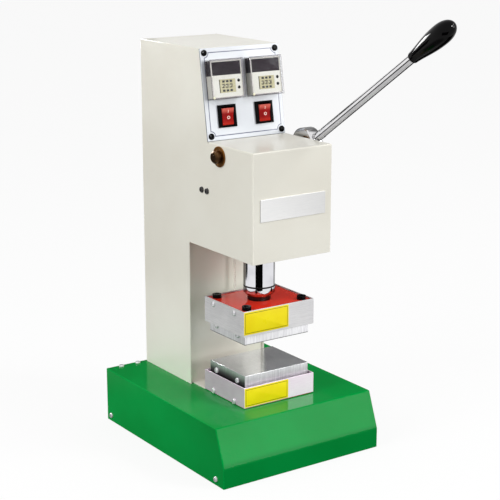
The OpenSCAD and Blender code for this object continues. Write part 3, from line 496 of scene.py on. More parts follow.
def sticker_vinyl(name, low, high):
    """Blank yellow sticker with a plain dark line inside its edge."""
    f = Finish(name)
    x, _, z = f.axes()
    mid = [(a + b) / 2 for a, b in zip(low, high)]
    line = [(b - a) / 2 - BORDER_IN for a, b in zip(low, high)]
    inside = (abs(x - mid[0]) - line[0]).max(abs(z - mid[1]) - line[1])
    ink = 1 - abs(inside).step(*BORDER_HALF)
    fade = f.noise(40, 3)
    yellow = f.mix(fade.step(0.3, 0.7), rgb(250, 232, 20), rgb(244, 222, 10))
    return f.surface(
        Base_Color=f.mix(ink * 0.85, yellow, rgb(40, 36, 16)),
        Roughness=0.3 + (fade - 0.5) * 0.12,
        Normal=f.bump(f.noise(260, 2), 0.03),
        IOR=1.3,
    )


# Threads of the lead's sleeve: round it, and along each metre of it
THREADS_ROUND = 6
THREADS_ALONG = 170


def braided_sleeve(name):
    """Glass-fibre sleeve: two sets of threads that cross along the lead's own UV map."""
    f = Finish(name)
    along = f.node("UVMap", {"uv_map": "UVMap"})
    u = f.coordinate(along, 0) * THREADS_ROUND
    v = f.coordinate(along, 1) * THREADS_ALONG
    weave = f.threads(u + v).max(f.threads(u - v))
    grime_and_edge_shade = f.noise(60, 3)
    colour = f.mix(weave, rgb(226, 221, 206), rgb(250, 248, 240))
    colour = f.mix(grime_and_edge_shade.step(0.5, 0.8) * 0.3, colour, rgb(190, 180, 156))
    return f.surface(Base_Color=colour, Roughness=0.75 + grime_and_edge_shade * 0.1, Normal=f.bump(weave, 0.2))


# Thick border and dark outline of a clear cover, both painted shade, counted in from its edge
COVER_BORDER = (2.2, 2.8)
COVER_OUTLINE = (0.6, 1.1)


def clear_plastic(name):
    """Clear thin moulding: light goes straight through; its walls, its border and its outline are painted
    grey as shade.
    """
    f = Finish(name)
    haze = f.noise(70, 3)
    across, up = panel_axes(f)
    margin = COVER_HALF - abs(abs(across) - CONTROLLER_X).max(abs(up - CONTROLLER_UP))
    border = 1 - margin.step(*COVER_BORDER)
    outline = 1 - margin.step(*COVER_OUTLINE)
    out = (0, -math.cos(PANEL_TILT), math.sin(PANEL_TILT))
    front = abs(f.dot(f.normal(), out)).step(0.3, 0.8)
    # Painted shade: grey on the border, darker on the outline and the walls
    grey = f.mix(border, rgb(240, 242, 246), rgb(170, 162, 168))
    grey = f.mix(outline.max(1 - front), grey, rgb(70, 63, 71))
    skin = f.node("BsdfPrincipled", {}, {"Base Color": grey, "Roughness": haze * 0.1 + 0.02})
    clear = f.node("BsdfTransparent", {}, {"Color": rgb(250, 251, 252)})
    share = (haze.step(0.4, 0.9) * 0.012 + 0.008).max(front * border * 0.34).max(front * outline * 0.7)
    return f.end(f.node("MixShader", {}, {0: share.max((1 - front) * 0.1), 1: clear, 2: skin}))


# Painted reflection on the upper end and painted glow on the lower end of a rocker, counted from its middle
ROCKER_PAINTED_REFLECTION = (2.0, 8.0)
ROCKER_PAINTED_GLOW = (5.0, 10.5)


def lit_red(name):
    """Translucent red rocker: a painted reflection pales it towards its upper edge, a painted glow lights
    its lower edge a little.
    """
    f = Finish(name)
    _, up = panel_axes(f)
    flow = f.noise(90, 2)
    rub = f.edges(0.9).step(0.03, 0.5)
    colour = f.mix(flow.step(0.3, 0.75), rgb(156, 9, 7), rgb(130, 4, 4))
    # Painted reflection towards the upper edge, painted glow at the lower edge
    colour = f.mix((up - SWITCH_UP).step(*ROCKER_PAINTED_REFLECTION) * 0.7, colour, rgb(226, 110, 96))
    colour = f.mix((SWITCH_UP - up).step(*ROCKER_PAINTED_GLOW) * 0.35, colour, rgb(222, 52, 26))
    colour = f.mix(rub * 0.45, colour, rgb(238, 100, 84))
    return f.surface(
        Base_Color=colour,
        Roughness=0.22 + (flow - 0.5) * 0.06,
        Normal=f.bump(f.noise(800, 2), 0.012),
        IOR=1.25,
    )


finishes = {
    "green": enamel(
        "green_enamel", rgb(0, 156, 68), rgb(0, 145, 60), rgb(70, 176, 104), 0.14, 0.01,
        painted_shade=0.34, sheen=0.86, IOR=1.12, Coat_Weight=0.14, Coat_Roughness=0.03, Coat_IOR=1.2,
    ),
    "cream": enamel(
        "cream_powder_coat", rgb(235, 233, 222), rgb(230, 227, 215), rgb(245, 244, 238), 0.34, 0.018,
        IOR=1.4, Coat_Weight=0.3, Coat_Roughness=0.12, Coat_IOR=1.4,
    ),
    "panel": panel_print("printed_panel"),
    "stainless": brushed(
        "stainless_sheet", rgb(220, 219, 220), rgb(192, 191, 193), 0.44, (60, 60, 2200), 0.01, shine=0.42
    ),
    # Lighter, duller copy of the stainless sheet for the lower shield: painted light making up for the
    # shade it stands in
    "stainless_lit_copy": brushed(
        "stainless_lower_lit_copy", rgb(255, 241, 253), rgb(243, 224, 240), 0.46, (60, 60, 2200), 0.01,
        shine=0.1, left_shade=0.46,
    ),
    "platen": ground_block("ground_platen"),
    "name_plate": brushed(
        "brushed_plate", rgb(227, 227, 226), rgb(213, 213, 213), 0.36, (40, 40, 2600), 0.006, shine=0.6
    ),
    "red": enamel(
        "red_laminate", rgb(234, 58, 38), rgb(220, 44, 28), rgb(236, 110, 90), 0.1, 0.005,
        IOR=1.25, Coat_Weight=0.2, Coat_Roughness=0.04, Coat_IOR=1.25,
    ),
    "chrome": polished(
        "bright_chrome", rgb(238, 237, 238), rgb(226, 225, 227), 0.12, 0.0001, grazing_shade=0.9, turn=(0.36, 0.5)
    ),
    "rod": polished("rod_chrome", rgb(238, 237, 238), rgb(226, 225, 227), 0.1, 0.0001),
    "ram": polished(
        "ram_chrome", rgb(232, 232, 236), rgb(216, 216, 221), 0.04,
        dark_bands=((190, 206.9), (219.2, 221.4)), grazing_shade=0.85,
    ),
    "steel": polished("turned_steel", rgb(150, 150, 153), rgb(122, 122, 126), 0.28),
    "tray": brushed("zinc_tray", rgb(168, 171, 174), rgb(136, 140, 144), 0.4, (90, 900, 900), 0.01),
    "zinc": polished(
        "zinc_screws", rgb(244, 244, 246), rgb(222, 222, 226), 0.14,
        dark_bands=((250, 400),), grime_and_edge_shade=0.7, metal=0.4,
    ),
    "black_screw": moulded("black_oxide", rgb(8, 8, 9), rgb(4, 4, 5), 0.16, 0.005, IOR=1.17),
    "brass": polished("aged_brass", rgb(158, 108, 52), rgb(112, 72, 34), 0.3),
    "bronze": polished("dark_bronze", rgb(104, 76, 48), rgb(66, 46, 30), 0.26),
    "grip": moulded("grip_phenolic", rgb(5, 4, 5), rgb(2, 2, 3), 0.04, 0.001, IOR=1.2),
    "black": moulded("black_plastic", rgb(9, 8, 9), rgb(5, 5, 6), 0.3, 0.01, IOR=1.08),
    "case": case_plastic("case_plastic"),
    "window": moulded("smoked_acrylic", rgb(60, 50, 56), rgb(50, 42, 47), 0.08, 0.002, IOR=1.15),
    "clear": clear_plastic("clear_moulding"),
    "rocker": lit_red("rocker_red"),
    "drum": moulded("drum_ivory", rgb(226, 218, 176), rgb(212, 203, 158), 0.4, 0.01),
    "button": moulded("button_umber", rgb(28, 22, 14), rgb(18, 14, 8), 0.42, 0.01),
    "wheel_face": moulded("wheel_face", rgb(208, 198, 150), rgb(194, 182, 132), 0.4, 0.01),
    "ink": moulded("digit_ink", rgb(34, 20, 14), rgb(24, 14, 10), 0.5, 0.008),
    "mark": moulded("switch_mark", rgb(252, 226, 214), rgb(244, 206, 192), 0.35, 0.008),
    "lamp": moulded("lamp_dark", rgb(12, 8, 8), rgb(8, 5, 6), 0.2, 0.004, IOR=1.3),
    "nub": moulded("nub_cream", rgb(240, 238, 208), rgb(226, 222, 186), 0.3, 0.01),
    "sleeve": braided_sleeve("lead_sleeve"),
}


def grid_quads(rows, columns, close_rows=False, close_columns=False):
    """Corner indices of the quads of a grid, closed round in either direction if asked."""
    r = np.arange(rows if close_rows else rows - 1)[:, None]
    c = np.arange(columns if close_columns else columns - 1)[None, :]
    r2 = (r + 1) % rows
    c2 = (c + 1) % columns
    corners = [r * columns + c, r * columns + c2, r2 * columns + c2, r2 * columns + c]
    return np.stack([np.broadcast_to(k, (r.size, c.size)).ravel() for k in corners], 1)


def ring_angles(count):
    """Even angles round a circle."""
    return np.linspace(0, TAU, count, endpoint=False)


def capped(rows, columns):
    """Faces of closed rings, one after another, with a cap at either end."""
    ring = np.arange(columns)
    return [*grid_quads(rows, columns, close_columns=True), ring[::-1], ring + columns * (rows - 1)]


def turned(a, b, angle):
    """Coordinates a and b after a turn by an angle from a towards b."""
    return a * math.cos(angle) - b * math.sin(angle), a * math.sin(angle) + b * math.cos(angle)


def linked(name, data):
    """New object with its data, put into the scene."""
    obj = bpy.data.objects.new(name, data)
    bpy.context.scene.collection.objects.link(obj)
    return obj


SAME_POINT = 0.002


def piece(name, points, faces, body, finish, smooth=True, poles=False):
    """A mesh object at the origin from points in metres and faces, riding on a body.

    Points that coincide at poles are joined, and faces are turned outwards.
    """
    mesh = bpy.data.meshes.new(name)
    mesh.from_pydata(np.asarray(points, float).tolist(), [], [list(map(int, f)) for f in faces])
    mesh.validate()
    mesh.polygons.foreach_set("use_smooth", np.full(len(mesh.polygons), smooth))
    mesh.materials.append(finishes[finish] if isinstance(finish, str) else finish)
    outward = bmesh.new()
    outward.from_mesh(mesh)
    if poles:
        bmesh.ops.remove_doubles(outward, verts=outward.verts, dist=SAME_POINT * MM)
    bmesh.ops.recalc_face_normals(outward, faces=outward.faces)
    outward.to_mesh(mesh)
    outward.free()
    obj = linked(name, mesh)
    if body:
        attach(obj, body)
    return obj


def rounded_rectangle(width, height, radius, steps):
    """Outline of a rectangle with quarter-circle corners, centred on the origin."""
    angle = np.linspace(0, TAU / 4, steps + 1)
    corners = np.array([[1, 1], [-1, 1], [-1, -1], [1, -1]]) * [width / 2 - radius, height / 2 - radius]
    turned = angle[None, :] + np.arange(4)[:, None] * TAU / 4
    arc = radius * np.stack([np.cos(turned), np.sin(turned)], -1)
    return (corners[:, None, :] + arc).reshape(-1, 2)


def slab(outline, low, high, edge):
    """Rings and caps of a flat plate: its outline at the foot, again below the edge, pulled in on top."""
    ahead = np.roll(outline, -1, 0) - np.roll(outline, 1, 0)
    inward = np.stack([-ahead[:, 1], ahead[:, 0]], 1) / np.linalg.norm(ahead, axis=1)[:, None]
    levels = [(0.0, low), (0.0, high - edge), (0.3 * edge, high - 0.3 * edge), (edge, high)]
    rings = [np.c_[outline + inward * pull, np.full(len(outline), z)] for pull, z in levels]
    return np.concatenate(rings), capped(len(levels), len(outline))


def lathe(profile, segments):
    """Points and faces of a profile of radius and height carried round the Z axis; ends on it are poles."""
    profile = np.asarray(profile, float)
    angle = ring_angles(segments)
    r = profile[:, 0][:, None]
    z = np.broadcast_to(profile[:, 1][:, None], (len(profile), segments))
    points = np.stack([r * np.cos(angle), r * np.sin(angle), z], -1)
    return points.reshape(-1, 3), grid_quads(len(profile), segments, close_columns=True)


def tube(path, radius, sides, across):
    """Round tube: a circle square to the path, carried along it; across is never along the path."""
    path = np.asarray(path, float)
    along = np.gradient(path, axis=0)
    along /= np.linalg.norm(along, axis=1)[:, None]
    first = np.cross(along, across)
    first /= np.linalg.norm(first, axis=1)[:, None]
    second = np.cross(along, first)
    angle = ring_angles(sides)
    circle = first[:, None] * np.cos(angle)[:, None] + second[:, None] * np.sin(angle)[:, None]
    return (path[:, None] + radius * circle).reshape(-1, 3), capped(len(path), sides)


def on_panel(points):
    """Metres in the shared frame of points given in millimetres across, up and out of the control panel."""
    u, v, w = np.asarray(points, float).T
    out, up = turned(w, v, PANEL_TILT)
    return np.stack([u, PANEL_FOOT_Y - out, PANEL_FOOT_Z + up], 1) * MM


def on_front(points, y):
    """Metres in the shared frame of points given in millimetres as X, Z and forward of a face at y."""
    a, b, out = np.asarray(points, float).T
    return np.stack([a, y - out, b], 1) * MM


SHARP = math.radians(18)
FLAT = math.radians(0.6)
SAME_CORNER = 0.004
ROUND_STEPS = 3
skins = []


def softened(node, finish, edge, folds=None, fold=0.0, only=None):
    """Copy of a CAD node with doubles merged and flat triangles joined.

    Edges sharper than SHARP get a round of edge millimetres. Those picked by folds get fold millimetres,
    and only limits both to some edges. Both take the edges' midpoints in millimetres and their lengths.
    """
    source = nodes[node]
    mesh = bmesh.new()
    mesh.from_mesh(source.data)
    bmesh.ops.remove_doubles(mesh, verts=mesh.verts, dist=SAME_CORNER * MM)
    bmesh.ops.dissolve_limit(
        mesh, angle_limit=FLAT, use_dissolve_boundaries=False, verts=mesh.verts, edges=mesh.edges
    )
    angle = np.array([e.calc_face_angle(0.0) for e in mesh.edges])
    ends = np.array([[v.co[:] for v in e.verts] for e in mesh.edges]) / MM
    mid = ends.mean(1).T
    length = np.linalg.norm(ends[:, 0] - ends[:, 1], axis=1)
    radius = np.where(angle > SHARP, edge, 0.0)
    if folds is not None:
        radius = np.where((radius > 0) & folds(mid, length), fold, radius)
    if only is not None:
        radius = np.where(only(mid, length), radius, 0.0)
    for made, bend, round_off in zip(mesh.edges, angle, radius):
        made.smooth = bool(bend < SHARP or round_off > 0)
    mesh.edges.index_update()
    curved = {e.index for e, bend in zip(mesh.edges, angle) if FLAT < bend < SHARP}
    for face in mesh.faces:
        face.smooth = any(e.index in curved for e in face.edges)
    data = bpy.data.meshes.new(node + "_skin")
    mesh.to_mesh(data)
    mesh.free()
    obj = linked(node + "_skin", data)
    for _ in range(2):
        data.materials.append(finishes[finish])
    weights = data.attributes.new("bevel_weight_edge", "FLOAT", "EDGE")
    widest = float(radius.max())
    weights.data.foreach_set("value", (radius / max(widest, 1e-6)).astype(np.float32))
    if widest > 0:
        bevel = obj.modifiers.new("edges", "BEVEL")
        bevel.limit_method = "WEIGHT"
        bevel.width = widest * MM
        bevel.segments = ROUND_STEPS
        bevel.use_clamp_overlap = False
        bevel.material = 1
    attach(obj, body_of[node])
    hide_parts(node)
    skins.append(obj)


def read(rows, name, kind, width=1):
    """Array of a property of a mesh's faces or corners, with a row for each where it has several values."""
    values = np.empty(len(rows) * width, kind)
    rows.foreach_get(name, values)
    return values if width == 1 else values.reshape(-1, width)


ONE_WAY = 0.99
BESIDE = 0.5


def set_rounds(obj, graph):
    """Makes the rounds part of the mesh. Flat faces keep their true normals up to the rounds beside."""
    mesh = bpy.data.meshes.new_from_object(obj.evaluated_get(graph))
    obj.modifiers.clear()
    count = len(mesh.polygons)
    rounds = read(mesh.polygons, "material_index", np.int32) == 1
    smooth = read(mesh.polygons, "use_smooth", bool) | rounds
    mesh.polygons.foreach_set("use_smooth", smooth)
    mesh.polygons.foreach_set("material_index", np.zeros(count, np.int32))
    mesh.materials.pop(index=1)
    mesh.attributes.remove(mesh.attributes["bevel_weight_edge"])
    mesh.update()
    flat_normal = read(mesh.polygons, "normal", np.float32, 3)
    corner = read(mesh.loops, "vertex_index", np.int32)
    normal = read(mesh.corner_normals, "vector", np.float32, 3)
    face = np.repeat(np.arange(count), read(mesh.polygons, "loop_total", np.int32))
    flat = ~smooth[face]
    total = np.zeros((len(mesh.vertices), 3))
    number = np.zeros(len(mesh.vertices))
    np.add.at(total, corner[flat], flat_normal[face[flat]])
    np.add.at(number, corner[flat], 1)
    mean = total / np.maximum(number, 1)[:, None]
    one_way = np.linalg.norm(mean, axis=1) > ONE_WAY
    near = (mean[corner] * flat_normal[face]).sum(1) > BESIDE
    normal = np.where((~flat & one_way[corner] & near)[:, None], mean[corner], normal)
    mesh.normals_split_custom_set(normal.tolist())
    mesh.name = obj.name
    obj.data = mesh


def dress(node, finish):
    """Gives a carried-over CAD node its finish."""
    data = nodes[node].data
    data.materials.clear()
    data.materials.append(finishes[finish])


# Sheet metal: where the long folds of each shell lie. Functions pick edges by midpoint and length.
LONG = 4.0
BASE_SIDE = 121.9
BASE_TOP = 73.9
BASE_FRONT = -127.9
BASE_RIM = 1.0
BASE_BACK = 145.0
HEAD_FRONT = -119.4
HEAD_TOP = 408.9
HEAD_FOOT = 270.5
COLUMN_BACK = 141.9
COLUMN_TOP = 523.0


def base_folds(mid, length):
    x, y, z = mid
    corner = (abs(x) > BASE_SIDE) | (z > BASE_TOP) | (y < BASE_FRONT)
    return (length > LONG) & (z > BASE_RIM) & (y < BASE_BACK) & corner


def head_folds(mid, length):
    _, y, z = mid
    return (length > LONG) & ((y < HEAD_FRONT) | (z > HEAD_TOP)) & (z > HEAD_FOOT)


def column_folds(mid, length):
    _, y, z = mid
    return (length > LONG) & (y > COLUMN_BACK) & (z > COLUMN_TOP)


def long_edges(mid, length):
    return length > LONG


HUB_FLAT = 9.5
RAM_FOOT = 215.0
CASE_EDGE = 6.0
CASE_RIM = (23.0, 22.8)


def hub_rim(mid, length):
    return abs(mid[1] - PRESS_Y) > HUB_FLAT


def ram_foot(mid, length):
    return mid[2] < RAM_FOOT


def case_rim(mid, length):
    x, y, z = mid
    u = abs(abs(x) - CONTROLLER_X)
    v = abs(up_panel(y, z) - CONTROLLER_UP)
    return (length > CASE_EDGE) & ((u > CASE_RIM[0]) | (v > CASE_RIM[1]))


softened("base_shell", "green", 0.3, base_folds, 1.5)
softened("head_cover", "cream", 0.35, head_folds, 1.7)
softened("column_cover", "cream", 0.35, column_folds, 1.4)
for side in SIDES:
    softened(f"side_plate_{side}", "cream", 0.45, only=long_edges)
softened("column_front_cover", "cream", 0.35)
softened("guide_plate", "cream", 0.6, only=long_edges)
softened("control_panel", "panel", 0.45)
softened("name_plate", "name_plate", 0.3)
softened("upper_shield", "stainless", 0.35, only=long_edges)
softened("lower_shield", "stainless_lit_copy", 0.35, only=long_edges)
for block, finish, edge in (("platen", "platen", 0.5), ("board", "red", 0.4)):
    for half in ("upper", "lower"):
        softened(f"{half}_{block}", finish, edge, only=long_edges)
softened("power_inlet", "black", 0.4)
softened("shaft_bushes", "brass", 0.35)
softened("lever_hub", "chrome", 0.5, only=hub_rim)
softened("lever_rod", "rod", 0.25)
softened("ram", "ram", 0.3, only=ram_foot)

# Nodes that keep their CAD shape
CARRIED_OVER = {
    "zinc": ("frame_screws", "upper_screws"),
    "black_screw": ("panel_screws", "cap_screws"),
    "steel": ("press_cam", "roller_pin", "cam_roller", "lower_heaters", "upper_heaters"),
    "tray": ("base_tray",),
    "brass": ("guide_bush",),
    "bronze": ("lever_shaft",),
}
for finish, group in CARRIED_OVER.items():
    for node in group:
        dress(node, finish)

# Controls
softened("controller_cases", "case", 0.6, only=case_rim)
softened("display_windows", "window", 0.35)
softened("switch_housings", "black", 0.5, only=long_edges)
for side in SIDES:
    softened(f"rocker_{side}", "rocker", 0.7, only=long_edges)
    softened(f"clear_cover_{side}", "clear", 0.5, only=long_edges)
    for i in (1, 2, 3):
        dress(f"number_drum_{side}_{i}", "drum")
        for way in ("plus", "minus"):
            softened(f"{way}_button_{side}_{i}", "button", 0.3)

# Strokes of the digits from 0 on, across and up from a digit's middle. A nine is a six upside down.
DIGIT_STROKES = [
    [
        (0.0, 1.0), (0.35, 0.85), (0.5, 0.4), (0.5, -0.4), (0.35, -0.85), (0.0, -1.0),
        (-0.35, -0.85), (-0.5, -0.4), (-0.5, 0.4), (-0.35, 0.85), (0.0, 1.0),
    ],
    [(-0.3, 0.6), (0.1, 1.0), (0.1, -1.0)],
    [
        (-0.48, 0.5), (-0.35, 0.85), (0.0, 1.0), (0.36, 0.84), (0.46, 0.5), (0.3, 0.1),
        (-0.48, -1.0), (0.5, -1.0),
    ],
    [
        (-0.46, 0.7), (-0.2, 0.96), (0.1, 1.0), (0.42, 0.74), (0.4, 0.34), (0.0, 0.06),
        (0.42, -0.2), (0.5, -0.56), (0.3, -0.9), (-0.05, -1.0), (-0.4, -0.84), (-0.5, -0.56),
    ],
    [(0.22, -1.0), (0.22, 1.0), (-0.5, -0.4), (0.5, -0.4)],
    [
        (0.42, 1.0), (-0.36, 1.0), (-0.44, 0.12), (0.0, 0.3), (0.4, 0.06), (0.48, -0.46),
        (0.22, -0.9), (-0.14, -1.0), (-0.5, -0.7),
    ],
    [
        (0.42, 0.76), (0.1, 1.0), (-0.3, 0.72), (-0.48, 0.0), (-0.44, -0.62), (-0.1, -1.0),
        (0.3, -0.9), (0.48, -0.46), (0.26, 0.0), (-0.14, 0.04), (-0.46, -0.34),
    ],
    [(-0.5, 1.0), (0.5, 1.0), (-0.1, -1.0)],
    [
        (0.0, 0.06), (-0.4, 0.36), (-0.36, 0.82), (0.0, 1.0), (0.36, 0.82), (0.4, 0.36), (0.0, 0.06),
        (-0.46, -0.3), (-0.44, -0.78), (0.0, -1.0), (0.44, -0.78), (0.46, -0.3), (0.0, 0.06),
    ],
]
DIGIT_STROKES.append([(-u, -v) for u, v in DIGIT_STROKES[6]])
DIGIT_W = 2.9
DIGIT_H = 3.7
DIGIT_INK = 0.85
INK_LIFT = 0.04
INK_THICK = 0.03
STROKE_STEPS = 26
SHOWN = {"left": (2, 2, 3), "right": (3, 2, 3)}


def stroke_ribbon(corners, width):
    """Flat ribbon of even width along a bent line, sampled closely: left edge, right edge."""
    corners = np.asarray(corners, float)
    run = np.r_[0, np.cumsum(np.linalg.norm(np.diff(corners, axis=0), axis=1))]
    at = np.unique(np.r_[run, np.linspace(0, run[-1], STROKE_STEPS)])
    line = np.stack([np.interp(at, run, corners[:, k]) for k in (0, 1)], 1)
    ahead = np.gradient(line, axis=0)
    ahead /= np.linalg.norm(ahead, axis=1)[:, None]
    off = np.stack([-ahead[:, 1], ahead[:, 0]], 1) * width / 2
    return np.stack([line + off, line - off], 1)


def thicken(obj, thick):
    """Gives a flat piece its thickness, half of it to either side."""
    wall = obj.modifiers.new("wall", "SOLIDIFY")
    wall.thickness = thick * MM
    wall.offset = 0.0


def digit_ring(name, body, centre, shown):
    """Ten digits round a drum: each ribbon's height becomes an angle about the drum's axle."""
    points, faces, count = [], [], 0
    for digit, strokes in enumerate(DIGIT_STROKES):
        ribbon = stroke_ribbon(np.array(strokes) * [DIGIT_W, DIGIT_H / 2], DIGIT_INK)
        flat = ribbon.reshape(-1, 2)
        turn = flat[:, 1] / DRUM_R + (digit - shown) * TAU / len(DIGIT_STROKES)
        r = DRUM_R + INK_LIFT
        points.append(np.stack([flat[:, 0], r * np.sin(turn), r * np.cos(turn)], 1))
        faces.extend(grid_quads(len(ribbon), 2) + count)
        count += len(flat)
    local = np.concatenate(points) + [centre[0], centre[1], DRUM_AXIS_W]
    thicken(piece(name, on_panel(local), faces, body, "ink", smooth=False), INK_THICK)


LATTICE_ROUND = 0.12


def lattice(name, us, vs, keep, w, thick, body, finish):
    """Flat plate on a grid of cuts in u and v, without the cells whose middles keep rejects."""
    us, vs = np.unique(us), np.unique(vs)
    u, v = np.meshgrid(us, vs)
    quads = grid_quads(len(vs), len(us))
    middle = np.stack([u.ravel()[quads].mean(1), v.ravel()[quads].mean(1)], 1)
    quads = quads[keep(middle[:, 0], middle[:, 1])]
    points = np.stack([u.ravel(), v.ravel(), np.full(u.size, w)], 1)
    used, renamed = np.unique(quads, return_inverse=True)
    cells = renamed.reshape(quads.shape)
    obj = piece(name, on_panel(points[used]), cells, body, finish, smooth=False)
    thicken(obj, thick)
    soft = obj.modifiers.new("edges", "BEVEL")
    soft.width = LATTICE_ROUND * MM
    soft.segments = 2


DOME_SINK = 0.4
DOME_STEPS = 9
DOME_SIDES = 28


def dome(name, centre, radius, rise, body, finish):
    """Low dome on the panel: radius falls as the cosine, height rises as the sine of one angle."""
    t = np.linspace(0, TAU / 4, DOME_STEPS)
    profile = np.r_[[[radius, -DOME_SINK]], np.stack([radius * np.cos(t), rise * np.sin(t)], 1)]
    points, faces = lathe(profile, DOME_SIDES)
    piece(name, on_panel(points + centre), faces, body, finish, poles=True)


# Trim of a controller, counted from the middle of its drums or, for the dots and the nub, of its front
WHEEL_LEFT = -11.0
WHEEL_RIGHT = 12.1
WHEEL_HALF_H = 8.3
WHEEL_PROUD = 0.02
WHEEL_PLAY = 0.1
VIEW_HALF = (2.3, 2.5)
SLOT_HALF = (1.75, 1.4)
GAP_LEFT = -11.6
GAP_W = 0.95
GAP_CORNER = 0.2
GAP_RISE = 0.35
GAP_EDGE = 0.1
LAMP_U = 17.2
LAMP_VS = (-3.0, -11.6)
LAMP_R = 2.1
LAMP_RISE = 0.5
NUB_IN = (2.6, 2.4)
NUB_R = 1.7
NUB_RISE = 1.1


def controller_trim(side, sign):
    """Face round the drums with its views and slots, a black strip of painted shade in the gap beside it,
    two dots, cover's nub, digits.
    """
    cu = sign * CONTROLLER_X
    cv = CONTROLLER_UP - DIGITS_DOWN
    middles = cu + (np.arange(3) - 1) * DRUM_PITCH

    def solid_cell(u, v):
        """True outside the three views and the six button slots."""
        du = np.abs(u[:, None] - middles)
        dv = np.abs(v - cv)
        view = (du < VIEW_HALF[0]).any(1) & (dv < VIEW_HALF[1])
        slot_cut = (du < SLOT_HALF[0]).any(1) & (np.abs(dv - BUTTON_OFF) < SLOT_HALF[1])
        return ~(view | slot_cut)

    offsets = np.array([-VIEW_HALF[0], -SLOT_HALF[0], SLOT_HALF[0], VIEW_HALF[0]])
    us = np.r_[cu + WHEEL_LEFT, (middles[:, None] + offsets).ravel(), cu + WHEEL_RIGHT]
    heights = np.array([VIEW_HALF[1], BUTTON_OFF - SLOT_HALF[1], BUTTON_OFF + SLOT_HALF[1], WHEEL_HALF_H])
    vs = cv + np.r_[-heights, heights]
    mid = CASE_FACE - WHEEL_RECESS / 2 + WHEEL_PROUD
    thick = WHEEL_RECESS - WHEEL_PLAY
    lattice(f"wheel_face_{side}", us, vs, solid_cell, mid, thick, "frame", "wheel_face")
    # Painted shade: a black strip in the gap left of the face, where there is only shade
    outline = rounded_rectangle(GAP_W, 2 * WHEEL_HALF_H, GAP_CORNER, 2)
    strip, strip_faces = slab(outline, 0, GAP_RISE, GAP_EDGE)
    strip = on_panel(strip + [cu + GAP_LEFT, cv, CASE_FACE - WHEEL_RECESS])
    piece(f"wheel_gap_shade_strip_{side}", strip, strip_faces, "frame", "black")
    for k, dv in enumerate(LAMP_VS, 1):
        at = (cu + LAMP_U, CONTROLLER_UP + dv, CASE_FACE)
        dome(f"lamp_{side}_{k}", at, LAMP_R, LAMP_RISE, "frame", "lamp")
    at = (cu - COVER_HALF + NUB_IN[0], CONTROLLER_UP - COVER_HALF + NUB_IN[1], COVER_FACE)
    dome(f"cover_nub_{side}", at, NUB_R, NUB_RISE, f"clear_cover_{side}", "nub")
    for i, (middle, shown) in enumerate(zip(middles, SHOWN[side]), 1):
        digit_ring(f"digits_{side}_{i}", f"number_drum_{side}_{i}", (middle, cv), shown)


for side, sign in SIDES.items():
    controller_trim(side, sign)


def on_rocker(points, sign):
    """Points across, along and off a rocker's face, which dips to its middle, at the tilt it rests in."""
    u, t, out = np.asarray(points, float).T
    run, rise = turned(np.abs(t), out, math.atan2(ROCKER_EDGE - ROCKER_DIP, ROCKER_HALF))
    v, w = turned(np.sign(t) * run, ROCKER_DIP + rise - ROCKER_PIVOT_W, ROCKER_TILT)
    return on_panel(np.stack([sign * SWITCH_X + u, SWITCH_UP + v, ROCKER_PIVOT_W + w], 1))


MARK_OUT = 0.04
BAR_HALF_W = 0.4
BAR_FOOT = 4.9
BAR_HEAD = 8.7
RING_AT = (1.0, -1.4)
RING_OUTER_R = 2.1
RING_INNER_R = 1.35
RING_STEPS = 36


def rocker_marks(side, sign):
    """Bar, a thin box, and ring, a thin rectangle carried round a circle, on the face of one rocker."""
    outline = np.array([[-1, BAR_FOOT], [1, BAR_FOOT], [1, BAR_HEAD], [-1, BAR_HEAD]]) * [BAR_HALF_W, 1]
    stacked = np.concatenate([np.c_[outline, np.full(4, h)] for h in (0.0, MARK_OUT)])
    body = f"rocker_{side}"
    bar = on_rocker(stacked, sign)
    piece(f"rocker_bar_{side}", bar, capped(2, 4), body, "mark", smooth=False)
    around = ring_angles(RING_STEPS)
    radius = np.array([RING_OUTER_R, RING_OUTER_R, RING_INNER_R, RING_INNER_R])[:, None]
    lift = np.broadcast_to(np.array([0.0, MARK_OUT, MARK_OUT, 0.0])[:, None], (4, RING_STEPS))
    ring = np.stack([radius * np.cos(around) + RING_AT[0], radius * np.sin(around) + RING_AT[1], lift], -1)
    ring = on_rocker(ring.reshape(-1, 3), sign)
    ring_faces = grid_quads(4, RING_STEPS, True, True)
    piece(f"rocker_ring_{side}", ring, ring_faces, body, "mark", smooth=False)


for side, sign in SIDES.items():
    rocker_marks(side, sign)

# Blank stickers on the shields' fronts: lower left and upper right corner, the face they are on, their body
STICKERS = {
    "upper": ((-54.4, 172.0), (14.6, 201.8), UPPER_SHIELD_FRONT, "ram_head"),
    "lower": ((-54.4, 76.0), (14.0, 101.2), LOWER_SHIELD_FRONT, "frame"),
}
STICKER_CORNER = 0.8
STICKER_FOOT = 0.01
STICKER_FACE = 0.14
STICKER_EDGE = 0.05
for half, (low, high, y, body) in STICKERS.items():
    outline = rounded_rectangle(*np.subtract(high, low), STICKER_CORNER, 4)
    points, faces = slab(outline, STICKER_FOOT, STICKER_FACE, STICKER_EDGE)
    points[:, :2] += np.add(high, low) / 2
    vinyl = sticker_vinyl(f"sticker_{half}", low, high)
    piece(f"sticker_{half}", on_front(points, y), faces, body, vinyl)


GRIP_SWELL = 1.4
GRIP_ROUND = 2.4


def grip_profile(share):
    """Radius of the grip at a share of its length: a power of a sine up to the swell, then a rounded end.

    The end is the root of one less a power of the share that is left.
    """
    swell = np.sin(np.minimum(share / GRIP_RISE, 1) * TAU / 4) ** GRIP_SWELL
    fall = np.clip((share - GRIP_RISE) / (1 - GRIP_RISE), 0, 1)
    end = np.sqrt(np.clip(1 - fall ** GRIP_ROUND, 0, 1))
    return np.where(share < GRIP_RISE, GRIP_NECK_R + (GRIP_R - GRIP_NECK_R) * swell, GRIP_R * end)


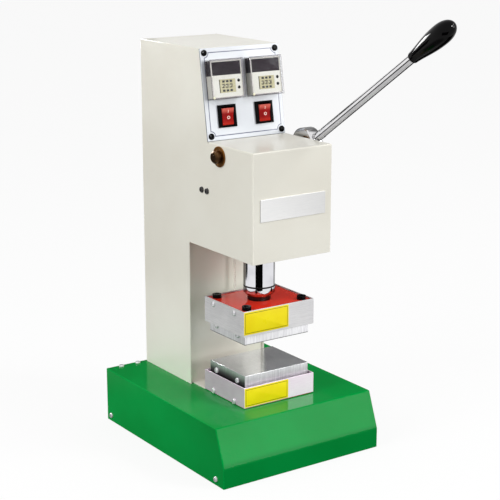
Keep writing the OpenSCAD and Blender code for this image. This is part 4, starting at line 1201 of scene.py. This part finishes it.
def along_lever(points):
    """Metres in the shared frame of points in millimetres whose Z runs along the lever from the shaft."""
    x, y, z = np.asarray(points, float).T
    forward, upward = turned(z, y, LEVER_ANGLE)
    return np.stack([LEVER_X + x, PRESS_Y - forward, SHAFT_Z + upward], 1) * MM


GRIP_SIDES = 56
GRIP_STEPS = (30, 34)
GRIP_BORE_DEPTH = 30.0
ending = 1 - (1 - GRIP_RISE) * np.linspace(0, 1, GRIP_STEPS[1]) ** 2
share = np.unique(np.r_[np.linspace(0, GRIP_RISE, GRIP_STEPS[0]), ending])
outer = np.stack([grip_profile(share), share * GRIP_LEN], 1)
bore = [[0.0, GRIP_BORE_DEPTH], [GRIP_BORE_R, GRIP_BORE_DEPTH], [GRIP_BORE_R, 0.5]]
mouth = [[GRIP_BORE_R + 0.3, 0.0], [GRIP_NECK_R - 0.6, 0.0]]
collar = [[GRIP_NECK_R - 0.15, 0.2], [GRIP_NECK_R + 0.02, 0.7]]
points, faces = lathe(np.concatenate([bore, mouth, collar, outer[1:]]), GRIP_SIDES)
points = along_lever(points + [0, 0, GRIP_START])
grip = piece("lever_grip_skin", points, faces, "lever", "grip", poles=True)
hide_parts("lever_grip")

# Return spring, closed up by the ram's collar
SPRING_STEPS = 36
SPRING_SIDES = 12
SPRING_PLAY = 0.15
turns = np.linspace(0, 1, SPRING_TURNS * SPRING_STEPS + 1)
around = TAU * SPRING_TURNS * turns
lowest = SPRING_SEAT + SPRING_WIRE / 2 + SPRING_PLAY
highest = SPRING_TOP - SPRING_WIRE / 2 - SPRING_PLAY
lift = lowest + (highest - lowest) * turns
coil = np.stack([SPRING_D / 2 * np.cos(around), PRESS_Y + SPRING_D / 2 * np.sin(around), lift], 1)
points, faces = tube(coil * MM, SPRING_WIRE / 2 * MM, SPRING_SIDES, np.array([0.0, 0.0, 1.0]))
spring = piece("return_spring_coil", points, faces, "frame", "steel")
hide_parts("return_spring")
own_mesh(spring)

# Heater lead, on the route of its solid
LEAD_X = 7.0
LEAD_TOP = (22.0, 276.0)
LEAD_END = (-2.0, 188.5)
LEAD_BEND = np.array([
    [21, 6.5], [20.6, -2.5], [19, -8.5], [16.2, -12.5], [12.8, -13.7], [9.6, -12.1],
    [7.6, -8.5], [6.2, -4.3], [3.6, -1.1], [0, 0], [-4, 0],
])
LEAD_D = 3.2
LEAD_RUN = 7
LEAD_STEPS = 140
LEAD_SIDES = 14


def smooth_line(corners, count):
    """Catmull-Rom curve through corners, at even steps of its parameter."""
    padded = np.concatenate([[2 * corners[0] - corners[1]], corners, [2 * corners[-1] - corners[-2]]])
    at = np.linspace(0, len(corners) - 1, count)
    k = np.minimum(at.astype(int), len(corners) - 2)
    t = (at - k)[:, None]
    a, b, c, d = (padded[k + i] for i in range(4))
    square = 2 * a - 5 * b + 4 * c - d
    cube = 3 * b - a - 3 * c + d
    return 0.5 * (2 * b + (c - a) * t + square * t ** 2 + cube * t ** 3)


bend = LEAD_BEND + LEAD_END
drop = np.linspace(LEAD_TOP, bend[0], LEAD_RUN + 1)[:-1]
route = smooth_line(np.concatenate([drop, bend]), LEAD_STEPS)
route = np.c_[np.full(len(route), LEAD_X), route] * MM
points, faces = tube(route, LEAD_D / 2 * MM, LEAD_SIDES, np.array([1.0, 0.0, 0.0]))
lead = piece("heater_lead_sleeve", points, faces, None, "sleeve")
run = np.r_[0, np.cumsum(np.linalg.norm(np.diff(route, axis=0), axis=1))]
uv = lead.data.uv_layers.new(name="UVMap")
corner = read(lead.data.loops, "vertex_index", np.int32)
uv_points = np.stack([corner % LEAD_SIDES / LEAD_SIDES, run[corner // LEAD_SIDES]], 1)
uv.data.foreach_set("uv", uv_points.astype(np.float32).ravel())
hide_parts("heater_lead")
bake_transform(lead)

graph = bpy.context.evaluated_depsgraph_get()
for skin in skins:
    set_rounds(skin, graph)

# Light, floor and cards, in metres. NEAR_FLOOR and the strips along the lever rod are in millimetres.
WHITE = (1, 1, 1, 1)
AMBIENT = 0.52
BACKDROP = 0.946
LAMP_TARGET = (0, 0, 0.25)
LAMPS = [
    ("key", (1.5, -2.6, 1.1), (1.6, 1.2), 44.0),
    ("fill", (-2.3, -0.2, 1.2), (1.6, 1.2), 36.0),
    ("spot", (1.2, -1.35, 1.8), (0.4, 0.4), 12.0),
    ("glint", (0.1, -1.68, 1.19), (0.36, 0.36), 34.0),
]
GLOSS_ONLY = ("glint",)
MATT_ONLY = ("fill",)
FLOOR_R = 30.0
FLOOR_SIDES = 64
FLOOR_Z = -0.0003
FLOOR_GLOW = 0.89
FLOOR_FAR = 0.95
FLOOR_NEAR = 0.06
NEAR_FLOOR = (260.0, 500.0)
CARD_FOOT = 0.02
LEVEL_CARD_Y = (-0.4, 0.14)
LEVEL_CARD_Z = 0.3
ROD_CARD_X = 64.0
STREAK = [(-0.4, 0.78, 0.53), (0.0, 0.78, 0.53), (0.0, 0.78, 0.73), (-0.4, 0.78, 0.73)]
CAMERA_AT = (-0.9968, -1.4674, 0.7140)
CAMERA_TO = (0.0122, -0.0087, 0.2560)
SENSOR_W = 36.0
LENS = 100.31


def aim(name, data, place, target):
    """Lamp or camera at a place, turned towards a target."""
    obj = linked(name, data)
    obj.location = place
    obj.rotation_euler = (Vector(target) - Vector(place)).to_track_quat("-Z", "Y").to_euler()
    return obj


def studio():
    """White surroundings for the camera and for reflections, softer light on the object, and the lamps."""
    bpy.context.scene.view_settings.view_transform = "Standard"
    world = bpy.data.worlds.new("studio")
    bpy.context.scene.world = world
    f = Finish("studio", world)
    camera, gloss, through = f.rays()
    seen = camera.max(gloss).max(through)
    strength = f.node("MapRange", {}, {"Value": seen, "To Min": AMBIENT, "To Max": BACKDROP})
    light = f.node("Background", {}, {"Color": WHITE, "Strength": strength})
    f.node("OutputWorld", {}, {"Surface": light})
    for name, place, size, power in LAMPS:
        data = bpy.data.lights.new(name, "AREA")
        data.shape = "RECTANGLE"
        data.size, data.size_y = size
        data.energy = power
        lamp = aim(name, data, place, LAMP_TARGET)
        lamp.visible_camera = False
        lamp.visible_diffuse = name not in GLOSS_ONLY
        lamp.visible_glossy = name not in MATT_ONLY


def floor():
    """Pale floor: it takes the shadow, and is white to the camera and, from a step away, in reflections."""
    f = Finish("pale_floor")
    grain = f.noise(3, 2)
    camera, gloss, through = f.rays()
    pale = f.mix(grain, rgb(249, 249, 249), rgb(246, 246, 246))
    colour = f.mix(camera, rgb(122, 122, 122), pale)
    matt = {"Base Color": colour, "Roughness": 1.0, "Specular IOR Level": 0.0}
    paint = f.node("BsdfPrincipled", {}, matt)
    glow = f.node("Emission", {}, {"Color": WHITE, "Strength": 1.0})
    x, y, _ = f.axes()
    far = ((x * x + y * y) ** 0.5).step(*NEAR_FLOOR)
    seen = (camera.max(through) * FLOOR_GLOW).max(gloss * (far * (FLOOR_FAR - FLOOR_NEAR) + FLOOR_NEAR))
    f.end(f.node("MixShader", {}, {0: seen, 1: paint, 2: glow}))
    angle = ring_angles(FLOOR_SIDES)
    disc = np.stack([FLOOR_R * np.cos(angle), FLOOR_R * np.sin(angle), np.full(FLOOR_SIDES, FLOOR_Z)], 1)
    obj = piece("floor", disc, [np.arange(FLOOR_SIDES)], None, f.material, smooth=False)
    obj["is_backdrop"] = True


def card(name, corners, tone, lit=False):
    """Flat card beside the set, seen only in bright metal and gloss, which gives them dark or lit bands."""
    f = Finish(name)
    if lit:
        face = f.node("Emission", {}, {"Strength": tone})
        f.material.cycles.emission_sampling = "NONE"
    else:
        face = f.node("BsdfDiffuse", {}, {"Color": (tone, tone, tone, 1)})
    obj = piece(name, corners, [(0, 1, 2, 3)], None, f.end(face), smooth=False)
    for ray in ("camera", "diffuse", "shadow", "transmission", "volume_scatter"):
        setattr(obj, "visible_" + ray, False)
    obj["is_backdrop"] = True


def upright_card(name, azimuth, distance, width, height, tone):
    """Card that stands at an azimuth and a distance and faces the set."""
    a = math.radians(azimuth)
    middle = np.array([math.sin(a), -math.cos(a), 0]) * distance + [0, 0, CARD_FOOT]
    sideways = np.array([math.cos(a), math.sin(a), 0]) * width / 2
    upward = np.array([0, 0, height])
    card(name, [middle + sideways * u + upward * v for u, v in [(-1, 0), (1, 0), (1, 1), (-1, 1)]], tone)


def level_card(name, left, right, tone):
    """Card that lies level under the lever rod, between two distances right of the middle."""
    front, back = LEVEL_CARD_Y
    corners = [(left, front), (right, front), (right, back), (left, back)]
    card(name, [(x, y, LEVEL_CARD_Z) for x, y in corners], tone)


def rod_card(name, low, high, start, tone):
    """Lit strip left of the lever rod, between two distances off its axis, from start to the grip."""
    corners = [(low, start), (low, GRIP_START), (high, GRIP_START), (high, start)]
    card(name, along_lever([(ROD_CARD_X - LEVER_X, off, along) for off, along in corners]), tone, lit=True)


studio()
floor()
upright_card("card_front", -33.0, 0.6, 0.54, 0.3, 0.004)
upright_card("card_back", 143.0, 0.75, 0.58, 0.54, 0.1)
upright_card("card_rear", 168.0, 0.82, 0.34, 0.62, 0.03)
upright_card("card_left", -146.0, 0.72, 0.6, 0.3, 0.06)
rod_card("card_rod_edge", 11.0, 90.0, 45.0, 0.03)
rod_card("card_rod_upper", -1.2, 11.0, 18.0, 0.95)
rod_card("card_rod_line", -5.6, -1.2, 18.0, 0.03)
rod_card("card_rod_lower", -60.0, -5.6, 18.0, 0.58)
card("card_streak", STREAK, 28.0, lit=True)
level_card("card_low", 0.0615, 0.15, 0.6)
level_card("card_low_far", 0.15, 0.4, 0.03)

lens = bpy.data.cameras.new("camera")
lens.sensor_width = SENSOR_W
lens.lens = LENS
bpy.context.scene.camera = aim("camera", lens, CAMERA_AT, CAMERA_TO)

low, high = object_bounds()
